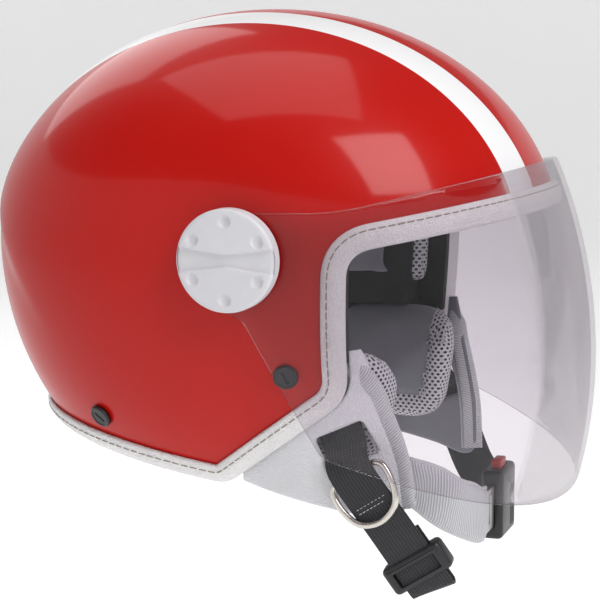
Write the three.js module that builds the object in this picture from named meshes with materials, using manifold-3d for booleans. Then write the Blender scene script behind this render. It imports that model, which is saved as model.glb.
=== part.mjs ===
// Open face motorcycle helmet with a clear tilting visor, comfort padding and a chin strap.
//
// Millimetres, +Z up. The wearer faces -Y, and the wearer's left side is +X. The origin lies midway
// between the two visor pivots, on the axis that the visor turns about.
//
// Side outlines are drawn in a plane of [forward, up] pairs, where forward is -Y, and are extended
// along X. "Depth" is always measured inwards from the outer surface of the shell.

import * as THREE from 'three';
import { mergeVertices } from 'three/addons/utils/BufferGeometryUtils.js';
import Module from 'manifold-3d';

const wasm = await Module();
wasm.setup();

// ---- Driving dimensions -------------------------------------------------------------------------

const GAP = 0.3;                      // clearance between touching pieces
const FACET = 0.9;                    // flat facets lie up to this far inside a curved surface
const BEYOND = 170;                   // past the helmet in every direction

// Outer shell: an egg with its own reach in each direction from its centre.
const SHELL_HALF_WIDTH = 112;
const SHELL_FRONT = 137;
const SHELL_REAR = 136;
const SHELL_TOP = 109;
const SHELL_BOTTOM = 140;
const SHELL_CENTRE_Y = 18.6;
const SHELL_CENTRE_Z = -2.1;
const SIDE_FULLNESS = 2.5;            // exponent: 2 is an ellipsoid, more is flatter at the sides
const SHELL_WALL = 4;

// Lower edge and face opening of the shell, seen from the side: [forward, up, corner radius].
const RIM = {
  rear: [-165, -79.5, 0],
  cheek: [-16, -105.2, 12],
  jaw: [43, -62, 20],
  temple: [45, 4.5, 16],
  brow: [165, 28, 0],
};

// Piping that covers the cut edge of the shell.
const TRIM_COVER = 8.5;               // how far it reaches over the outside
const TRIM_STANDOFF = 2.2;            // thickness over the outside and past the edge
const TRIM_LIP_DEPTH = 12;            // how far its lip turns in under the edge

// Protective foam and fabric inside.
const FOAM_DEPTH = 28;
const FOAM_REBATE_DEPTH = 12.5;
const FOAM_REBATE_WIDTH = 16;
const CROWN_LINER_THICKNESS = 5;
const CROWN_LINER_LOWEST_Z = -40;
const BORDER_PAD_DEPTH = 26;

// Visor: a sheet cut from the wall of a bowed barrel, whose foot leans forward.
const VISOR_THICKNESS = 2.4;
const VISOR_HALF_WIDTH = SHELL_HALF_WIDTH + 6.8;
const VISOR_REACH = SHELL_FRONT + 2.7;
const VISOR_LEAN = THREE.MathUtils.degToRad(9);
const VISOR_BARREL_FORWARD = -4.6;
const VISOR_BARREL_UP = -44.1;
const VISOR_BARREL_FRONT_BOW = 183;
const VISOR_BARREL_SIDE_BOW = 400;
const VISOR_FULLNESS = 2.2;
const VISOR_BARREL_FOOT = -115;
const VISOR_BARREL_HEAD = 90;
const VISOR_EAR_RADIUS = 19.5;        // round the pivot
const VISOR_OUTLINE = [
  [-VISOR_EAR_RADIUS, VISOR_EAR_RADIUS, VISOR_EAR_RADIUS],
  [44, 20.4, 110],
  [160, 48.5, 0],
  [160, -129, 0],
  [40, -86.4, 11],
  [4, -26, 10],
  [-VISOR_EAR_RADIUS, -VISOR_EAR_RADIUS, VISOR_EAR_RADIUS],
];

// Pivot hardware on each side.
const KNOB_RADIUS = 22.5;
const KNOB_THICKNESS = 8;
const KNOB_DIMPLE_RADIUS = 2.4;
const KNOB_DIMPLE_CIRCLE = 17;
const KNOB_DIMPLE_DEPTH = 1.2;
const KNOB_CHANNEL_DEPTH = 1.6;
const KNOB_CHANNEL_WAIST = 5;
const KNOB_CHANNEL_END = 11;
const KNOB_BEVEL = 2;
const KNOB_BOSS_RADIUS = 5;           // the boss passes through the visor and the washer
const SCREW_RADIUS = 3;
const SCREW_COVER = 3;                // knob material left over the end of the screw
const SCREW_REACH = 14;               // how far the screw reaches in from the shell's surface
const FRICTION_WASHER_RADIUS = 10;
const PIVOT_NUT_RADIUS = 8;
const PIVOT_NUT_FLANGE = 1.6;
const PIVOT_NUT_BARREL_RADIUS = 4.6;

// Rivets: the front one holds the chin strap, the rear one holds the neck roll.
const RIVET = {
  front: { forward: 20, up: -52.5 },
  rear: { forward: -74.5, up: -78.5 },
};
const RIVET_HEAD_RADIUS = 5.6;
const RIVET_HEAD_HEIGHT = 2.6;
const RIVET_SHANK_RADIUS = 2;
const RIVET_WASHER_RADIUS = 4;
const RIVET_WASHER_THICKNESS = 1;

// Pads: the brow pad, two temple pads and the neck roll follow the rim; two cheek pads lie between
// them, and two soft skirts hang below the jaw. Outlines are [forward, up, corner radius].
const PAD_GAP = 0.6;
const TEMPLE_PAD_FRONT = 51;
const TEMPLE_PAD_LOWEST = -41;
const NECK_ROLL_FRONT = -26;
const NECK_ROLL_TOP = 0;
const CHEEK_PAD_THICKNESS = 20;
const CHEEK_PAD_OUTLINE = [[-14, -46, 14], [57, -44, 24], [44, -100, 18], [-8, -98, 14]];
const SKIRT_THICKNESS = 3.4;
const SKIRT_DEPTH = 4.6;
const SKIRT_LEAN = 0.1;               // how far it comes in for each millimetre that it hangs down
const SKIRT_OUTLINE = [
  [-30, -60, 0],
  [49, -38, 2],
  [58, -64, 30],
  [66, -92, 30],
  [68, -123, 12],
  [-30, -103, 0],
];
const HANGING_FORWARD = [-32, 72];    // stretch that the cheek pads and skirts lie in
const HANGING_UP = [-128, -36];

// Chin strap. The webbing's width lies across the helmet's side, tilted up towards the front.
const WEBBING_WIDTH = 21;
const WEBBING_THICKNESS = 1.5;
const WEBBING_TILT = THREE.MathUtils.degToRad(24);
const SKIRT_SLOT = { forward: 41.5, up: -86.5 };
const SLOT_HEIGHT = WEBBING_WIDTH * 0.9;
const SLOT_CLEARANCE = WEBBING_WIDTH / 7;
const STRAP_HANG_TOP = { proud: 7.3, forward: 45.5, up: -96 };
const STRAP_FOLD = { inwards: 10.6, forward: 80.5, up: -149 };
const STRAP_FOLD_RADIUS = 1.9;
const STRAP_RETURN = 27;
const SLIDER_LENGTH = 14;
const SLIDER_RIM = 4.3;
const SLIDER_SKIN = 1.5;
const SLIDER_ABOVE_FOLD = 4;
const SLIDER_BAR_WIDTH = 4;
const SLIDER_WINDOW = 6;
const RING_WIDTH = WEBBING_WIDTH * 1.3;
const RING_DROP = 24;
const RING_WIRE_RADIUS = 1.5;
const RING_DOWN = 3;                  // distance of its straight bar down the hanging strap
const CHIN_PAD_WIDTH = 25;
const CHIN_PAD_THICKNESS = 6;
const CHIN_PAD_CHEEK_DEPTH = 17;      // inside the skirt's outer face
const CHIN_PAD_BUCKLE_OUT = 2;

// Ways of the straps. Past the skirt: [depth inside its outer face, forward, up]. To the buckle and
// along the chin pad: [share of the distance out to the cheek, forward, up].
const WAY_PAST_SKIRT = [
  [4.6, 26, -61],
  [7.3, 31.5, -69.5],
  [7.5, 37, -78.5],
  [1.9, SKIRT_SLOT.forward, SKIRT_SLOT.up],
  [-4.9, 43.6, -91.5],
];
const WAY_TO_BUCKLE = [[0.9, 54, -112], [0.8, 62.5, -128], [0.56, 73, -136], [0.27, 82, -136]];
const WAY_OF_CHIN_PAD = [
  [1, 58, -104],
  [0.88, 68, -109],
  [0.75, 77, -117],
  [0.42, 83, -126],
  [0.14, 86, -132],
  [0, 86.5, -133],
];

// Buckle under the chin: centre, and its size across the helmet, front to back and upright.
const BUCKLE_CENTRE = new THREE.Vector3(29, -86.5, -133);
const BUCKLE_LENGTH = 30;
const BUCKLE_DEPTH = 11;
const BUCKLE_HEIGHT = 34;
const BUCKLE_ROUND = 3;
const TONGUE_THICKNESS = 2.6;
const TONGUE_IN = 15;
const TONGUE_OUT = 14;
const TONGUE_BAR = 4;
const BUTTON_LENGTH = 12;
const BUTTON_DEPTH = 5;
const BUTTON_IN = 3.5;
const BUTTON_PROUD = 4;
const BUTTON_TRAVEL = 2;

// ---- Materials ----------------------------------------------------------------------------------

function finish(color, roughness, metalness = 0, extra = {}) {
  return new THREE.MeshStandardMaterial({ color, roughness, metalness, ...extra });
}

const redPaint = finish(0xc8140a, 0.15);
const whiteLeather = finish(0xe6e4e6, 0.6);
const whitePlastic = finish(0xeceaee, 0.4);
const clearPlastic = finish(0xd8d2d8, 0.05, 0, { transparent: true, opacity: 0.35 });
const blackFoam = finish(0x2a2a2c, 0.95);
const greyFabric = finish(0x8a8c96, 0.95);
const greyMesh = finish(0xa8a8b2, 0.95);
const paleFabric = finish(0xc4c4cc, 0.9);
const blackWebbing = finish(0x17171b, 0.85);
const blackPlastic = finish(0x151518, 0.4);
const redPlastic = finish(0xb0191c, 0.4);
const steel = finish(0xb9b4ac, 0.3, 0.9);

// ---- Solids -------------------------------------------------------------------------------------

function solid(geometry) {
  const bare = geometry.clone();
  bare.deleteAttribute('normal');
  bare.deleteAttribute('uv');
  const merged = mergeVertices(bare, 1e-4);
  return new wasm.Manifold(new wasm.Mesh({
    numProp: 3,
    vertProperties: new Float32Array(merged.attributes.position.array),
    triVerts: new Uint32Array(merged.index.array),
  }));
}

function geometryOf(body) {
  const mesh = body.getMesh();
  const geometry = new THREE.BufferGeometry();
  geometry.setAttribute('position', new THREE.BufferAttribute(mesh.vertProperties, 3));
  geometry.setIndex(new THREE.BufferAttribute(mesh.triVerts, 1));
  geometry.computeVertexNormals();
  return geometry;
}

const helmet = new THREE.Group();

function place(name, material, body) {
  const geometry = body.isBufferGeometry ? body : geometryOf(body);
  const mesh = new THREE.Mesh(geometry, material);
  mesh.name = name;
  helmet.add(mesh);
  return mesh;
}

function moveVertices(geometry, move) {
  const position = geometry.attributes.position;
  const point = new THREE.Vector3();
  for (let i = 0; i < position.count; i += 1) {
    move(point.fromBufferAttribute(position, i));
    position.setXYZ(i, point.x, point.y, point.z);
  }
  return geometry;
}

// The helmet's egg, shrunk everywhere by a depth (a negative depth swells it).
function egg(depth) {
  const squeeze = 2 / SIDE_FULLNESS - 1;
  const sphere = new THREE.SphereGeometry(1, 28, 16).rotateZ(Math.PI / 2);
  return solid(moveVertices(sphere, (p) => {
    const across = Math.hypot(p.y, p.z);
    const swell = across > 1e-6 ? across ** squeeze : 0;
    p.x *= SHELL_HALF_WIDTH - depth;
    p.y = SHELL_CENTRE_Y + p.y * swell * ((p.y < 0 ? SHELL_FRONT : SHELL_REAR) - depth);
    p.z = SHELL_CENTRE_Z + p.z * swell * ((p.z > 0 ? SHELL_TOP : SHELL_BOTTOM) - depth);
  }));
}

// Half width of the egg at a point seen from the side.
function eggHalfWidth(forward, up, depth = 0) {
  const y = -forward - SHELL_CENTRE_Y;
  const z = up - SHELL_CENTRE_Z;
  const across = Math.hypot(
    y / ((y < 0 ? SHELL_FRONT : SHELL_REAR) - depth),
    z / ((z > 0 ? SHELL_TOP : SHELL_BOTTOM) - depth),
  );
  return (SHELL_HALF_WIDTH - depth) * Math.sqrt(Math.max(0, 1 - across ** SIDE_FULLNESS));
}

// Moves each side of a closed outline inwards by a distance; its rounded corners stay concentric.
function insetCorners(corners, distance) {
  const count = corners.length;
  const points = corners.map(([forward, up]) => new THREE.Vector2(forward, up));
  const clockwise = THREE.ShapeUtils.area(points) < 0 ? 1 : -1;
  const sides = points.map((start, i) => {
    const along = points[(i + 1) % count].clone().sub(start).normalize();
    const inwards = new THREE.Vector2(along.y, -along.x).multiplyScalar(clockwise * distance);
    return { start: start.clone().add(inwards), along };
  });
  return corners.map(([, , radius], i) => {
    const before = sides[(i + count - 1) % count];
    const after = sides[i];
    const turn = before.along.cross(after.along);
    const reach = after.start.clone().sub(before.start).cross(after.along) / turn;
    const corner = before.along.clone().multiplyScalar(reach).add(before.start);
    const grow = Math.sign(turn) * clockwise * distance;
    return [corner.x, corner.y, radius > 0 ? Math.max(0.5, radius + grow) : 0];
  });
}

function roundedShape(corners) {
  const count = corners.length;
  const points = corners.map(([forward, up]) => new THREE.Vector2(forward, up));
  const shape = new THREE.Shape();
  points.forEach((corner, i) => {
    const back = points[(i + count - 1) % count].clone().sub(corner).normalize();
    const on = points[(i + 1) % count].clone().sub(corner).normalize();
    const cut = corners[i][2] / Math.tan(back.angleTo(on) / 2);
    const from = corner.clone().addScaledVector(back, cut);
    const to = corner.clone().addScaledVector(on, cut);
    if (i === 0) {
      shape.moveTo(from.x, from.y);
    } else {
      shape.lineTo(from.x, from.y);
    }
    if (cut > 0) {
      shape.quadraticCurveTo(corner.x, corner.y, to.x, to.y);
    }
  });
  shape.closePath();
  return shape;
}

// A side outline extended along X from one side of the helmet to another.
function sidePrism(shape, fromX, toX, curveSegments = 6) {
  const prism = new THREE.ExtrudeGeometry(shape, { depth: toX - fromX, bevelEnabled: false, curveSegments });
  const axes = new THREE.Matrix4().makeBasis(
    new THREE.Vector3(0, -1, 0),
    new THREE.Vector3(0, 0, 1),
    new THREE.Vector3(-1, 0, 0),
  );
  return solid(prism.applyMatrix4(axes).translate(toX, 0, 0));
}

// The part of space that the shell keeps: behind the face opening and above the lower edge.
function insideRim(inset) {
  const { rear, cheek, jaw, temple, brow } = RIM;
  const corners = [rear, cheek, jaw, temple, brow, [BEYOND, BEYOND, 0], [-BEYOND, BEYOND, 0]];
  return sidePrism(roundedShape(insetCorners(corners, inset)), -BEYOND, BEYOND);
}

// A round body about X, turned from a profile of [radius, x] pairs.
function turnedGeometry(profile, segments) {
  const points = profile.map(([radius, along]) => new THREE.Vector2(radius, along));
  return new THREE.LatheGeometry(points, segments).rotateZ(-Math.PI / 2);
}

function turned(profile, side, segments = 32) {
  const lathe = turnedGeometry(profile, segments);
  return side > 0 ? solid(lathe) : solid(lathe.rotateY(Math.PI));
}

// A plain cylinder along X.
function roundBar(radius, fromX, toX, segments = 16) {
  const low = Math.min(fromX, toX);
  const high = Math.max(fromX, toX);
  return turned([[0, low], [radius, low], [radius, high], [0, high]], 1, segments);
}

const SIDES = [{ label: 'left', side: 1 }, { label: 'right', side: -1 }];

// A thick sheet that follows a half width given at each [forward, up], measured inwards from it.
function sheet(side, halfWidthAt, thickness, forwardRange, upRange, steps = 10) {
  const box = new THREE.BoxGeometry(1, 1, 1, 1, steps, steps);
  return solid(moveVertices(box, (p) => {
    const forward = THREE.MathUtils.lerp(forwardRange[1], forwardRange[0], p.y + 0.5);
    const up = THREE.MathUtils.lerp(upRange[0], upRange[1], p.z + 0.5);
    const inwards = (0.5 - p.x * side) * thickness;
    p.set(side * (halfWidthAt(forward, up) - inwards), -forward, up);
  }));
}

// Places a body made along +X so that it stands out of the shell at right angles to its surface.
function standOnShell(geometry, { forward, up }, side) {
  const step = 1;
  const slopeForward = (eggHalfWidth(forward + step, up) - eggHalfWidth(forward - step, up)) / (2 * step);
  const slopeUp = (eggHalfWidth(forward, up + step) - eggHalfWidth(forward, up - step)) / (2 * step);
  const outwards = new THREE.Vector3(side, slopeForward, -slopeUp).normalize();
  const turn = new THREE.Quaternion().setFromUnitVectors(new THREE.Vector3(1, 0, 0), outwards);
  geometry.applyQuaternion(turn);
  return geometry.translate(side * eggHalfWidth(forward, up), -forward, up);
}

// ---- Shell, foam and trim -----------------------------------------------------------------------

function pivotBore(radius, side) {
  return roundBar(radius, side * (SHELL_HALF_WIDTH - FOAM_DEPTH), side * (SHELL_HALF_WIDTH + FOAM_DEPTH));
}

function rivetBore(radius, spot, side) {
  const reach = FOAM_REBATE_DEPTH;
  const bar = turnedGeometry([[0, -reach], [radius, -reach], [radius, reach], [0, reach]], 16);
  return solid(standOnShell(bar, spot, side));
}

function outerShell() {
  let shell = egg(0).subtract(egg(SHELL_WALL)).intersect(insideRim(0));
  for (const { side } of SIDES) {
    shell = shell.subtract(pivotBore(PIVOT_NUT_BARREL_RADIUS + GAP, side));
    shell = shell.subtract(rivetBore(RIVET_SHANK_RADIUS + GAP, RIVET.front, side));
    shell = shell.subtract(rivetBore(RIVET_SHANK_RADIUS + GAP, RIVET.rear, side));
  }
  return shell;
}

// Piping in an L: over the outside of the shell's edge, round it, and a little way in under it.
function edgeTrim() {
  const skin = egg(-TRIM_STANDOFF).subtract(egg(TRIM_LIP_DEPTH));
  const alongRim = insideRim(-TRIM_STANDOFF).subtract(insideRim(TRIM_COVER));
  const covered = egg(-GAP).intersect(insideRim(-GAP));
  let trim = skin.intersect(alongRim).subtract(covered);
  for (const { side } of SIDES) {
    trim = trim.subtract(strapChannel(side).intersect(egg(SHELL_WALL / 2)));
  }
  return trim;
}

function foamLiner() {
  const rebate = egg(FOAM_REBATE_DEPTH).subtract(insideRim(FOAM_REBATE_WIDTH));
  const cheekCutout = sidePrism(roundedShape(insetCorners(CHEEK_PAD_OUTLINE, -PAD_GAP)), -BEYOND, BEYOND, 4);
  let foam = egg(SHELL_WALL + GAP).subtract(egg(FOAM_DEPTH)).intersect(insideRim(GAP))
    .subtract(rebate)
    .subtract(cheekCutout);
  for (const { side } of SIDES) {
    foam = foam.subtract(pivotBore(PIVOT_NUT_RADIUS + 2 * GAP, side));
    foam = foam.subtract(rivetBore(RIVET_WASHER_RADIUS + 1, RIVET.front, side));
    foam = foam.subtract(rivetBore(RIVET_WASHER_RADIUS + 1, RIVET.rear, side));
    foam = foam.subtract(strapChannel(side));
  }
  return foam;
}

// Room in the foam for the webbing on its way from the rivet down to the jaw.
function strapChannel(side) {
  const from = new THREE.Vector2(RIVET.front.forward, RIVET.front.up);
  const end = new THREE.Vector2(SKIRT_SLOT.forward, SKIRT_SLOT.up);
  const along = end.clone().sub(from).normalize();
  const across = new THREE.Vector2(-along.y, along.x).multiplyScalar(WEBBING_WIDTH / 2 + 2);
  const start = from.clone().addScaledVector(along, -WEBBING_WIDTH / 2);
  const shape = new THREE.Shape([
    start.clone().sub(across),
    end.clone().sub(across),
    end.clone().add(across),
    start.clone().add(across),
  ]);
  const [fromX, toX] = side > 0 ? [0, BEYOND] : [-BEYOND, 0];
  return sidePrism(shape, fromX, toX).subtract(egg(FOAM_REBATE_DEPTH));
}

// ---- Padding ------------------------------------------------------------------------------------

function crownLiner() {
  const skin = egg(FOAM_DEPTH + GAP).subtract(egg(FOAM_DEPTH + CROWN_LINER_THICKNESS));
  const above = solid(new THREE.BoxGeometry(2 * BEYOND, 2 * BEYOND, BEYOND)
    .translate(0, 0, CROWN_LINER_LOWEST_Z + BEYOND / 2));
  return skin.intersect(insideRim(FOAM_REBATE_WIDTH + PAD_GAP)).intersect(above);
}

// Padded strip round the face opening, which fills the rebate in the foam.
function borderBand() {
  const skin = egg(FOAM_REBATE_DEPTH + PAD_GAP).subtract(egg(BORDER_PAD_DEPTH));
  return skin.intersect(insideRim(GAP)).subtract(insideRim(FOAM_REBATE_WIDTH - PAD_GAP));
}

function boxBetween(fromX, toX, fromForward, toForward, fromUp, toUp) {
  const box = new THREE.BoxGeometry(toX - fromX, toForward - fromForward, toUp - fromUp);
  return solid(box.translate((fromX + toX) / 2, -(fromForward + toForward) / 2, (fromUp + toUp) / 2));
}

function browPad() {
  const ahead = boxBetween(-BEYOND, BEYOND, TEMPLE_PAD_FRONT + PAD_GAP, BEYOND, -BEYOND, BEYOND);
  return borderBand().intersect(ahead);
}

function templePad(side) {
  const [fromX, toX] = side > 0 ? [GAP, BEYOND] : [-BEYOND, -GAP];
  const region = boxBetween(fromX, toX, 0, TEMPLE_PAD_FRONT, TEMPLE_PAD_LOWEST, BEYOND);
  return borderBand().intersect(region);
}

function neckRoll() {
  const behind = boxBetween(-BEYOND, BEYOND, -BEYOND, NECK_ROLL_FRONT, -BEYOND, NECK_ROLL_TOP);
  return borderBand().intersect(behind);
}

// Height of the shell's lower edge under the cheek and jaw.
function jawLine(forward) {
  const [cheek, jaw, rear] = [RIM.cheek, RIM.jaw, RIM.rear];
  const [from, to] = forward < cheek[0] ? [rear, cheek] : [cheek, jaw];
  const share = (Math.min(forward, jaw[0]) - from[0]) / (to[0] - from[0]);
  return THREE.MathUtils.lerp(from[1], to[1], share);
}

// Half width of something that lies under the shell at a depth, and hangs down below its edge.
function hangingHalfWidth(depth) {
  return (forward, up) => {
    const edge = jawLine(forward);
    return eggHalfWidth(forward, Math.max(up, edge), depth) - SKIRT_LEAN * Math.max(0, edge - up);
  };
}

function cheekPad(side) {
  const outerFace = hangingHalfWidth(FOAM_REBATE_DEPTH + PAD_GAP);
  const slab = sheet(side, outerFace, CHEEK_PAD_THICKNESS, HANGING_FORWARD, HANGING_UP);
  const trimLip = insideRim(-TRIM_STANDOFF - PAD_GAP).subtract(insideRim(0))
    .subtract(egg(TRIM_LIP_DEPTH + PAD_GAP));
  return slab.intersect(sidePrism(roundedShape(CHEEK_PAD_OUTLINE), -BEYOND, BEYOND, 4)).subtract(trimLip);
}

function sideSkirt(side) {
  const slab = sheet(side, hangingHalfWidth(SKIRT_DEPTH), SKIRT_THICKNESS, HANGING_FORWARD, HANGING_UP);
  const across = (WEBBING_WIDTH / 2) + SLOT_CLEARANCE;
  const slot = new THREE.BoxGeometry(BEYOND, 2 * across, SLOT_HEIGHT)
    .rotateX(-WEBBING_TILT)
    .translate(side * BEYOND / 2, -SKIRT_SLOT.forward, SKIRT_SLOT.up);
  return slab
    .intersect(sidePrism(roundedShape(SKIRT_OUTLINE), -BEYOND, BEYOND, 4))
    .subtract(insideRim(-TRIM_STANDOFF - GAP))
    .subtract(solid(slot));
}

// ---- Visor and its pivots -----------------------------------------------------------------------

// A point on the visor's barrel: round from the front, and along its leaning axis.
function barrelPoint(target, sideways, frontways, along, inset) {
  const power = 2 / VISOR_FULLNESS;
  const frontBow = Math.sqrt(1 - (along / VISOR_BARREL_FRONT_BOW) ** 2);
  const sideBow = Math.sqrt(1 - (along / VISOR_BARREL_SIDE_BOW) ** 2);
  const out = Math.sign(sideways) * Math.abs(sideways) ** power * (VISOR_HALF_WIDTH - inset) * sideBow;
  const ahead = Math.sign(frontways) * Math.abs(frontways) ** power * (VISOR_REACH - inset) * frontBow;
  const forward = VISOR_BARREL_FORWARD + ahead * Math.cos(VISOR_LEAN) - along * Math.sin(VISOR_LEAN);
  const up = VISOR_BARREL_UP + ahead * Math.sin(VISOR_LEAN) + along * Math.cos(VISOR_LEAN);
  return target.set(out, -forward, up);
}

function visorBarrel(inset) {
  const height = VISOR_BARREL_HEAD - VISOR_BARREL_FOOT;
  const barrel = new THREE.CylinderGeometry(1, 1, height, 40, 8);
  const middle = (VISOR_BARREL_HEAD + VISOR_BARREL_FOOT) / 2;
  return solid(moveVertices(barrel, (p) => barrelPoint(p, p.x, p.z, p.y + middle, inset)));
}

function visor() {
  let wall = visorBarrel(0).subtract(visorBarrel(VISOR_THICKNESS))
    .intersect(sidePrism(roundedShape(VISOR_OUTLINE), -BEYOND, BEYOND, 8));
  for (const { side } of SIDES) {
    wall = wall.subtract(pivotBore(KNOB_BOSS_RADIUS + GAP, side));
  }
  return wall;
}

// Half width of the visor's barrel at a point seen from the side.
function barrelHalfWidth(forward, up, inset = 0) {
  const ahead = (forward - VISOR_BARREL_FORWARD) * Math.cos(VISOR_LEAN)
    + (up - VISOR_BARREL_UP) * Math.sin(VISOR_LEAN);
  const along = (up - VISOR_BARREL_UP) * Math.cos(VISOR_LEAN)
    - (forward - VISOR_BARREL_FORWARD) * Math.sin(VISOR_LEAN);
  const reach = (VISOR_REACH - inset) * Math.sqrt(1 - (along / VISOR_BARREL_FRONT_BOW) ** 2);
  const widest = (VISOR_HALF_WIDTH - inset) * Math.sqrt(1 - (along / VISOR_BARREL_SIDE_BOW) ** 2);
  return widest * (1 - Math.abs(ahead / reach) ** VISOR_FULLNESS) ** (1 / VISOR_FULLNESS);
}

const WASHER_CORNER = FRICTION_WASHER_RADIUS * Math.SQRT1_2;
const WASHER_FACE = barrelHalfWidth(WASHER_CORNER, WASHER_CORNER, VISOR_THICKNESS) - FACET;
const KNOB_BACK = barrelHalfWidth(0, -KNOB_RADIUS) + GAP;
const KNOB_FACE = KNOB_BACK + KNOB_THICKNESS;

function knob(side) {
  let body = turned([
    [0, WASHER_FACE + GAP],
    [KNOB_BOSS_RADIUS, WASHER_FACE + GAP],
    [KNOB_BOSS_RADIUS, KNOB_BACK],
    [KNOB_RADIUS, KNOB_BACK],
    [KNOB_RADIUS, KNOB_FACE - KNOB_BEVEL],
    [KNOB_RADIUS - KNOB_BEVEL, KNOB_FACE],
    [0, KNOB_FACE],
  ], side, 32);
  const screwEnd = side * (KNOB_FACE - SCREW_COVER);
  body = body.subtract(roundBar(SCREW_RADIUS + GAP, side * (SHELL_HALF_WIDTH - SCREW_REACH), screwEnd));
  for (let i = 0; i < 6; i += 1) {
    const angle = (i + 0.5) * Math.PI / 3;
    const dimple = roundBar(
      KNOB_DIMPLE_RADIUS,
      side * (KNOB_FACE - KNOB_DIMPLE_DEPTH),
      side * (KNOB_FACE + KNOB_DIMPLE_DEPTH),
      8,
    );
    const across = KNOB_DIMPLE_CIRCLE * Math.cos(angle);
    const up = KNOB_DIMPLE_CIRCLE * Math.sin(angle);
    body = body.subtract(dimple.translate([0, across, up]));
  }
  return body.subtract(knobChannel(side));
}

// Bow tie shaped groove across the knob for the fingers: narrow in the middle, wide at its ends.
function knobChannel(side) {
  const end = KNOB_RADIUS + 1;
  const shape = new THREE.Shape();
  shape.moveTo(-end, KNOB_CHANNEL_END / 2);
  shape.lineTo(0, KNOB_CHANNEL_WAIST / 2);
  shape.lineTo(end, KNOB_CHANNEL_END / 2);
  shape.lineTo(end, -KNOB_CHANNEL_END / 2);
  shape.lineTo(0, -KNOB_CHANNEL_WAIST / 2);
  shape.lineTo(-end, -KNOB_CHANNEL_END / 2);
  const bottom = KNOB_FACE - KNOB_CHANNEL_DEPTH;
  return side > 0 ? sidePrism(shape, bottom, BEYOND) : sidePrism(shape, -BEYOND, -bottom);
}

// Steel screw moulded into the knob.
function pivotScrew(side) {
  const inner = side * (SHELL_HALF_WIDTH - SCREW_REACH);
  return roundBar(SCREW_RADIUS, inner, side * (KNOB_FACE - SCREW_COVER - GAP), 12);
}

// Ring between the shell and the visor that holds the visor at any height by friction.
function frictionWasher(side) {
  const inner = SHELL_HALF_WIDTH + GAP;
  const bore = KNOB_BOSS_RADIUS + GAP;
  return turned([
    [bore, inner],
    [FRICTION_WASHER_RADIUS, inner],
    [FRICTION_WASHER_RADIUS, WASHER_FACE],
    [bore, WASHER_FACE],
    [bore, inner],
  ], side, 16);
}

// Flanged nut that the screw turns in, held in the shell's wall.
function pivotNut(side) {
  const shellOuter = eggHalfWidth(0, 0);
  const seat = eggHalfWidth(PIVOT_NUT_RADIUS, PIVOT_NUT_RADIUS, SHELL_WALL) - GAP - FACET;
  const bore = SCREW_RADIUS + GAP;
  return turned([
    [bore, seat - PIVOT_NUT_FLANGE],
    [PIVOT_NUT_RADIUS, seat - PIVOT_NUT_FLANGE],
    [PIVOT_NUT_RADIUS, seat],
    [PIVOT_NUT_BARREL_RADIUS, seat],
    [PIVOT_NUT_BARREL_RADIUS, shellOuter - GAP],
    [bore, shellOuter - GAP],
    [bore, seat - PIVOT_NUT_FLANGE],
  ], side, 16);
}

// ---- Rivets -------------------------------------------------------------------------------------

const STRAP_DEPTH = SHELL_WALL + GAP + 2 * FACET + WEBBING_THICKNESS / 2;
const RIVET_GRIP = STRAP_DEPTH + WEBBING_THICKNESS / 2 + 2 * GAP;

function rivet(spot, side) {
  const foot = RIVET_GRIP + RIVET_WASHER_THICKNESS + GAP;
  return solid(standOnShell(turnedGeometry([
    [0, -foot - 1],
    [RIVET_SHANK_RADIUS + 1, -foot - 1],
    [RIVET_SHANK_RADIUS + 1, -foot],
    [RIVET_SHANK_RADIUS, -foot],
    [RIVET_SHANK_RADIUS, 2 * GAP],
    [RIVET_HEAD_RADIUS, 2 * GAP],
    [RIVET_HEAD_RADIUS, RIVET_HEAD_HEIGHT * 0.6],
    [RIVET_HEAD_RADIUS * 0.8, RIVET_HEAD_HEIGHT],
    [0, RIVET_HEAD_HEIGHT],
  ], 14), spot, side));
}

function rivetWasher(spot, side) {
  const bore = RIVET_SHANK_RADIUS + GAP;
  return solid(standOnShell(turnedGeometry([
    [bore, -RIVET_GRIP - RIVET_WASHER_THICKNESS],
    [RIVET_WASHER_RADIUS, -RIVET_GRIP - RIVET_WASHER_THICKNESS],
    [RIVET_WASHER_RADIUS, -RIVET_GRIP],
    [bore, -RIVET_GRIP],
    [bore, -RIVET_GRIP - RIVET_WASHER_THICKNESS],
  ], 12), spot, side));
}

// ---- Chin strap ---------------------------------------------------------------------------------

const TILTED_WIDTH = new THREE.Vector3(0, -Math.cos(WEBBING_TILT), Math.sin(WEBBING_TILT));
const UPRIGHT_WIDTH = new THREE.Vector3(0, 0, 1);

// A flat band along a route; at each of the route's points its width lies along its own direction.
function band(route, widths, width, thickness, steps) {
  const curve = new THREE.CatmullRomCurve3(route, false, 'centripetal');
  const turning = new THREE.CatmullRomCurve3(widths, false, 'centripetal');
  const box = new THREE.BoxGeometry(width, thickness, 1, 1, 1, steps);
  return solid(moveVertices(box, (p) => {
    const share = THREE.MathUtils.clamp(p.z + 0.5, 0, 1);
    const along = curve.getTangent(share);
    const across = turning.getPoint(share);
    across.addScaledVector(along, -across.dot(along)).normalize();
    const proud = along.clone().cross(across);
    const middle = curve.getPoint(share);
    p.set(
      middle.x + across.x * p.x + proud.x * p.y,
      middle.y + across.y * p.x + proud.y * p.y,
      middle.z + across.z * p.x + proud.z * p.y,
    );
  }));
}

function at(side, out, forward, up) {
  return new THREE.Vector3(side * out, -forward, up);
}

const skirtFace = hangingHalfWidth(SKIRT_DEPTH);

function hangTop(side) {
  const { proud, forward, up } = STRAP_HANG_TOP;
  return at(side, skirtFace(forward, up) + proud, forward, up);
}

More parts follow.
